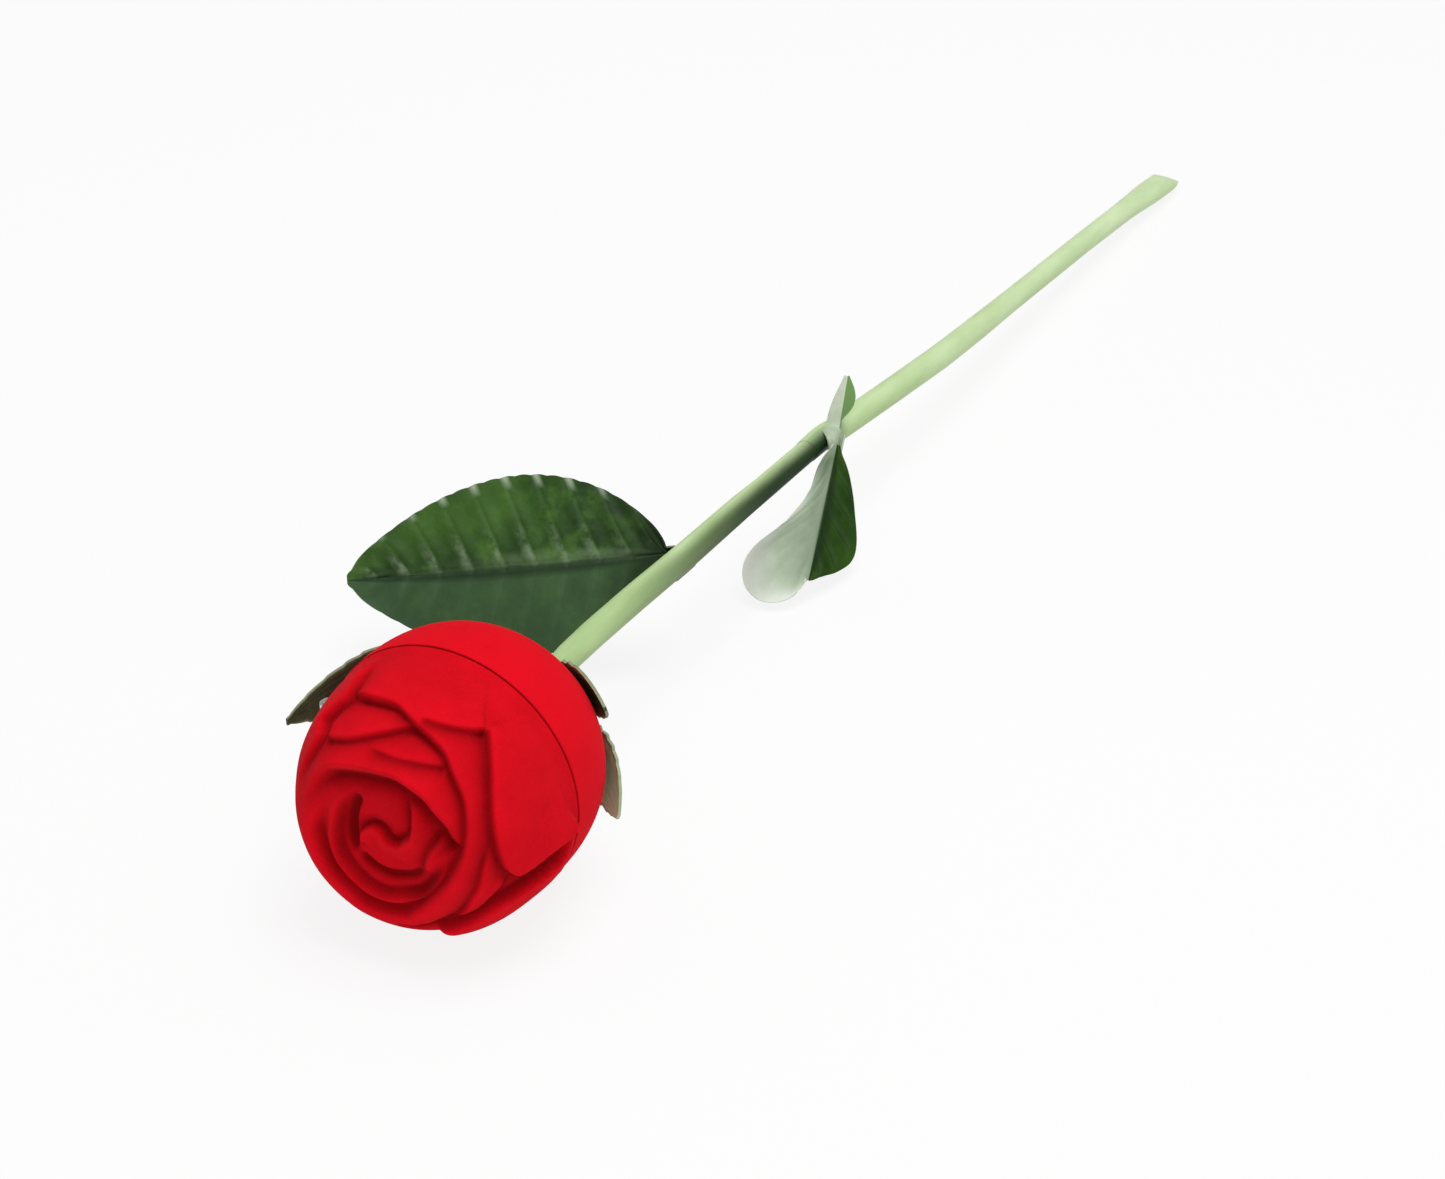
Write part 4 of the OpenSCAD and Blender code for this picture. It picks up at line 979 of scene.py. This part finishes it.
def big_leaf_shape(share, side):
    """Places on the large leaf: egg-shaped with a rounded point, folded a little and waved at its edge."""
    out, fold = np.abs(side), np.radians(np.where(side > 0, -6, -8))
    width = BIG_HALF * (0.06 + 0.94 * np.sin(np.pi * np.minimum(0.985, share) ** 0.83) ** 0.76)
    width *= np.sqrt(1 - np.clip((share - 0.95) / 0.053, 0, 0.95) ** 2)
    width *= 1 + 0.012 * np.abs(np.sin(np.pi * 2 * BIG_VEINS * share))
    pressed = pressed_veins(share, out, BIG_VEINS, 0.12, BIG_HALF) * smooth_unit((1 - share) / 0.12)
    height = (out * width * np.sin(fold) - BIG_DROOP * share ** 2 + pressed
              + 0.5 * np.sin(2 * np.pi * (3.3 * share + 0.2)) * out ** 3)
    flat = np.stack([BIG_LEN * share, side * width * np.cos(fold), height], -1)
    return turned_by(flat, BIG_TURN) + BIG_BASE


large_leaf = sheet_grid("large_leaf", 280, 110, big_leaf_shape, 0.45)
shade_smooth(large_leaf, 60)


def leaf_finish(name, veins, low, middle, high, vein, gloss):
    """Printed leaf sheet: mottled green with paler veins. Gives the finish, its tone and its masks."""
    finish, here = new_finish(name, Specular_IOR_Level=0.15)
    share, side = here.attribute("share"), here.attribute("side")
    out = abs(side)
    phase = (share * veins - out * 0.9 + 0.5).fraction()
    thin = abs(phase - 0.5).ramp((0, 1), (0.10, 0)) * (1 - out)
    mottle = here.grain(170, 5, 0.6)
    tone = mottle.ramp((0.3, low), (0.5, middle), (0.72, high))
    tone = (thin * mottle * 0.5).blend(tone, vein)
    (mottle * 0.18 + gloss).feeds("Roughness")
    (here.grain(1500, 4) * 0.5 + mottle * 0.5 - thin * 0.3).relief(0.00018, 0.5).feeds("Normal")
    return finish, here, tone, share, side, out, phase


glossy_leaf, here, tone, share, side, out, phase = leaf_finish(
    "glossy_leaf", BIG_VEINS, (0.010, 0.030, 0.005), (0.024, 0.072, 0.010), (0.085, 0.200, 0.028),
    (0.080, 0.150, 0.050), 0.36)
far_half = (side * -10 + 0.5).ramp((0, 0), (1, 1))
# Painted highlights: broken pale glints in streaks beside the veins and in nicks along the upper half's edge
patchy = here.grain(420, 4, 0.65).ramp((0.38, 0), (0.62, 1))
streak = phase.ramp((0.46, 0), (0.60, 1), (0.90, 0)) * out.ramp((0, 1), (0.30, 0.75), (0.50, 0.14))
edge_glints = out.ramp((0.84, 0), (0.97, 1)) * phase.ramp((0.30, 0), (0.45, 1), (0.62, 0))
# Painted sheen: the lower half is blended toward a paler bluish green
tone = ((1 - far_half) * 0.7).blend(tone, (0.060, 0.120, 0.056))
# Painted light: the upper half is brighter green away from the midrib
upper_light_field = out.ramp((0.10, 0), (0.55, 1)) * share.ramp((0.25, 0), (0.55, 0.7), (0.95, 0.4))
tone = (far_half * upper_light_field).blend(tone, (0.062, 0.160, 0.022))
near_veins = (1 - far_half) * phase.ramp((0.40, 0), (0.52, 1), (0.80, 0)) * (1 - out) * patchy
tone = (near_veins * 0.35).blend(tone, (0.12, 0.19, 0.11))
# Painted highlights in the streaks and edge nicks, broken up by the patchy noise
tone = (far_half * patchy * (streak * 0.75 + edge_glints * 0.9)).blend(tone, (0.28, 0.38, 0.23))
# Painted shade along the lower side of the midrib's fold, and a painted highlight along its upper side
fold_shade = side.ramp((0, 0.2), (0.03, 1), (0.08, 0.9), (0.16, 0)) * share.ramp((0.02, 0.3), (0.2, 1))
rib_highlight = ((side * -1).ramp((0, 0), (0.02, 1), (0.08, 0.8), (0.17, 0))
             * share.ramp((0.06, 1), (0.7, 0.15)))
# Brighter painted highlights at the edge nicks along the middle of the leaf
bright_edge_glints = far_half * edge_glints * share.ramp((0.12, 0), (0.2, 1), (0.7, 1), (0.8, 0.2))
tone = (bright_edge_glints * 0.8).blend(tone, (0.46, 0.56, 0.40))
tone = (fold_shade * 0.8).blend(tone, (0.006, 0.020, 0.005))
tone = (rib_highlight * (patchy * 0.4 + 0.38)).blend(tone, (0.20, 0.29, 0.16))
# Painted shade toward the leaf's base by the stem
share.ramp((0, 0.9), (0.10, 0.6), (0.22, 0)).blend(tone, (0.006, 0.018, 0.004)).feeds("Base Color")
put_on(large_leaf, glossy_leaf)
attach(large_leaf, "rose")
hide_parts("large_leaf_blade")


def leaf_rib(name, length, droop, start, turn, base, fold):
    """Half-round rib under a leaf's midrib that thins to the tip and clears the leaf's folded halves."""
    sink = math.sin(math.radians(fold))

    def shape(share, side):
        at = start + (0.9 - start) * share
        thick = 1.1 - 0.7 * np.maximum(0, at)
        around = np.pi / 2 * side
        top = -droop * np.maximum(0, at) ** 2 - 0.35 - 0.26 - thick * sink - 0.125
        flat = np.stack([length * at, thick * np.sin(around), top - 0.1 - thick * np.cos(around)], -1)
        return turned_by(flat, turn) + base
    return sheet_grid(name, 60, 12, shape, 0.3)


# Saddle: a short open tube round the back of the stem
saddle_way = bowed([BIG_SEAT + along * UPPER_WAY for along in (-3.5, -3.2, 0, 3.2, 3.5)])
saddle = tube_along("saddle", saddle_way, stem_radius(saddle_way) + (0.2, 0.4, 0.4, 0.4, 0.2), 56)
# The saddle takes the stem's painted light and shade
store_lit(saddle, saddle_way)
cut_away(saddle, tube_along("saddle_bore", saddle_way + np.linspace(-3, 3, 5)[:, None] * (0, 1, 0),
                            stem_radius(saddle_way) + 0.04, 56))
opening = box_cutter((-1.4, -10, -8), (8, 10, 8))
opening_turn = math.radians(-55)
opening.matrix_world = (Matrix.Translation(Vector(BIG_SEAT) * mm) @ Matrix.Rotation(-UPPER_FALL, 4, "X")
                        @ Matrix.Rotation(opening_turn, 4, "Y"))
cut_away(saddle, opening)
put_on(saddle, stem_green)
large_rib = leaf_rib("large_rib", BIG_LEN, BIG_DROOP, -0.03, BIG_TURN, BIG_BASE, 8)
put_on(large_rib, sepal_green)
large_sprig = joined("large_sprig", [large_rib, saddle])
shade_smooth(large_sprig, 45)
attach(large_sprig, "rose")
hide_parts("large_leaf_sprig")


# ---- Small leaf ----
# A two-lobed leaf that droops onto the table: one lobe shows its pale matt
# back, the other is dark and glossy. Its sleeve hides the joint of the tubes.

SLEEVE_LEN, SLEEVE_WALL = 9.0, 0.8
SLEEVE_FALL = (UPPER_FALL + LOWER_FALL) / 2
SLEEVE_WAY = falling_way(SLEEVE_FALL)
SLEEVE_BORE = UPPER_R + 0.05 + SLEEVE_LEN / 2 * math.sin((LOWER_FALL - UPPER_FALL) / 2)
SLEEVE_R = SLEEVE_BORE + SLEEVE_WALL
SMALL_LEN, SMALL_VEINS = 26, 6
SMALL_BASE = BEND + (SLEEVE_R + 1.1, -1, 1)
SMALL_FALL = math.degrees(math.asin((SMALL_BASE[2] + BUD_R - 4) / SMALL_LEN))
SMALL_TURN = (-13, SMALL_FALL, -77)
# Each lobe's outline from the stalk to the tip, in mm along and off the midrib
PALE_LOBE = ((0, 0.6), (4, 2.3), (9, 3.0), (14, 4.9), (18, 7.8), (22, 10.9), (25.5, 11.9), (29, 11),
             (31.3, 8.2), (31.4, 5), (29.5, 2), (26, 0.5))
DARK_LOBE = ((0, 0.6), (4.8, 4.8), (10.8, 7.8), (16, 9.6), (19.4, 9.0), (22.2, 6.3), (24.5, 2.8), (26, 0.5))


def lobe_rim(marks, share):
    """Places on a lobe's outline at shares of its length."""
    line = drawn_course(marks, 12)
    run = np.append(0, np.cumsum(np.hypot(*np.diff(line, axis=0).T)))
    return np.stack([np.interp(share, run / run[-1], line[:, k]) for k in (0, 1)], -1)


def small_leaf_shape(share, side):
    """Places on the small leaf: each lobe spans from the midrib to its own outline, folded down."""
    out, fold = np.abs(side), np.radians(np.where(side > 0, -42, -8))
    rim = np.where((side > 0)[:, None], lobe_rim(DARK_LOBE, share), lobe_rim(PALE_LOBE, share))
    along = SMALL_LEN * share * (1 - out) + rim[:, 0] * out
    off = rim[:, 1] * out
    height = (off * np.sin(fold) + (along / SMALL_LEN) ** 2
              + pressed_veins(share, out, SMALL_VEINS, np.where(side > 0, 0.15, 0.05), 11) * np.minimum(1, off))
    flat = np.stack([along, np.sign(side) * off * np.cos(fold), height], -1)
    return turned_by(flat, SMALL_TURN) + SMALL_BASE


small_leaf = sheet_grid("small_leaf", 180, 90, small_leaf_shape, 0.45)
shade_smooth(small_leaf, 60)
two_tone_leaf, here, tone, share, side, out, phase = leaf_finish(
    "two_tone_leaf", SMALL_VEINS, (0.012, 0.040, 0.002), (0.020, 0.064, 0.003), (0.034, 0.092, 0.005),
    (0.034, 0.080, 0.008), 0.36)
# Painted shade along the fold beside the midrib on the dark lobe
fold_shade = side.ramp((0, 0.3), (0.05, 1), (0.18, 0.9), (0.35, 0))
tone = (fold_shade * 0.8).blend(tone, (0.008, 0.022, 0.006))
cloud = here.grain(130, 4, 0.55) * 0.5 + out * 0.7 + share * 0.3 - 0.26
pale_tone = cloud.ramp((0.3, (0.25, 0.32, 0.22)), (0.6, (0.44, 0.53, 0.39)), (0.95, (0.80, 0.84, 0.76)))
# Painted shade on the pale lobe near the stalk
pale_tone = share.ramp((0, 0), (0.1, 0.75), (0.3, 0)).blend(pale_tone, (0.11, 0.17, 0.09))
(side * 40 + 0.5).ramp((0, 0), (1, 1)).blend(pale_tone, tone).feeds("Base Color")
put_on(small_leaf, two_tone_leaf)
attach(small_leaf, "rose")
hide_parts("small_leaf_blade")

# Sleeve that swells gently out of the tubes, and the pointed scale that stands on it
sleeve_way = bowed([BEND + along * (UPPER_WAY if along < 0 else LOWER_WAY)
                    for along in (-4.5, -4.4, -3.6, -2, 0, 2, 3.6, 4.4, 4.5)])
sleeve_fit = stem_radius(sleeve_way) + 0.03
sleeve = tube_along("sleeve", sleeve_way, sleeve_fit + (0.04, 0.06, 0.08, 0.11, 0.15, 0.2, 0.16, 0.09, 0.05), 56)
# The sleeve takes the stem's painted light and shade
store_lit(sleeve, sleeve_way)
sleeve_way[0], sleeve_way[8] = BEND - 6 * UPPER_WAY, BEND + 6 * LOWER_WAY
cut_away(sleeve, tube_along("sleeve_bore", sleeve_way, sleeve_fit, 56))


SCALE_TURN = (0, 8, 25)


def scale_shape(share, side):
    """Places on the scale: a folded pointed leaf that leans off the sleeve, shorter on its dark side."""
    width = np.where(side > 0, 1.8 * np.sin(np.pi * np.minimum(1, (1 - share) / 0.72)),
                     2.1 * np.sin(np.radians(112 * (1 - share) + 4))) + 0.15
    flat = np.stack([side * width, 0.9 * side ** 2 + 0.2 + 2 * share ** 2, 11 * share - 2.5], -1)
    return turned_by(flat, SCALE_TURN) + BEND + (2.6, SLEEVE_LEN / 2 - 1, SLEEVE_R - 0.9)


def stalk_shape(share, side):
    """Places on the pale stalk that lies over the sleeve, from the scale round to the small leaf."""
    around = np.radians(94 - 112 * share)
    along = 4.8 - 5.6 * share ** 0.75 + side * (3.0 - 1.0 * share)
    off = SLEEVE_R - 0.75 + 0.35 * (1 - side ** 2) + 1.5 * share ** 2 - 1.4 * (1 - share) ** 5
    up = np.array((0, math.sin(SLEEVE_FALL), math.cos(SLEEVE_FALL)))
    return (BEND + along[:, None] * SLEEVE_WAY + (off * np.sin(around))[:, None] * up
            + (off * np.cos(around))[:, None] * (1, 0, 0))


scale = sheet_grid("scale", 40, 14, scale_shape, 0.4)
stalk = sheet_grid("stalk", 40, 14, stalk_shape, 0.35)
small_rib = leaf_rib("small_rib", SMALL_LEN, -1, -0.1, SMALL_TURN, SMALL_BASE, 42)
store(scale, "toned", 1)
sprig_green, here = new_finish("sprig_green", Specular_IOR_Level=0.35)
side, share, toned = here.attribute("side"), here.attribute("share"), here.attribute("toned")
patch = here.grain(300, 4, 0.55)
pale_tone = (patch + toned * 0.35 - 0.15).ramp((0.25, (0.36, 0.44, 0.30)), (0.85, (0.70, 0.78, 0.62)))
# Painted shade toward the far end of the stalk and of the rib, by the small leaf
stalk_foot_shade = (share * (1 - toned)).ramp((0.55, 0), (1, 0.8))
scale_dark_half = (side * 30 + 0.5).ramp((0, 0), (1, 1)) * toned
tone = stalk_foot_shade.blend(pale_tone, (0.13, 0.19, 0.10))
scale_dark_half.blend(tone, (0.16, 0.32, 0.09)).feeds("Base Color")
(patch * 0.2 + 0.4).feeds("Roughness")
(here.grain(2500, 3) * 0.5 + patch * 0.5).relief(0.00012, 0.4).feeds("Normal")
for piece in (scale, stalk, small_rib):
    put_on(piece, sprig_green)
put_on(sleeve, stem_green)
small_sprig = joined("small_sprig", [scale, stalk, small_rib, sleeve])
shade_smooth(small_sprig, 45)
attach(small_sprig, "rose")
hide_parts("small_leaf_sprig")
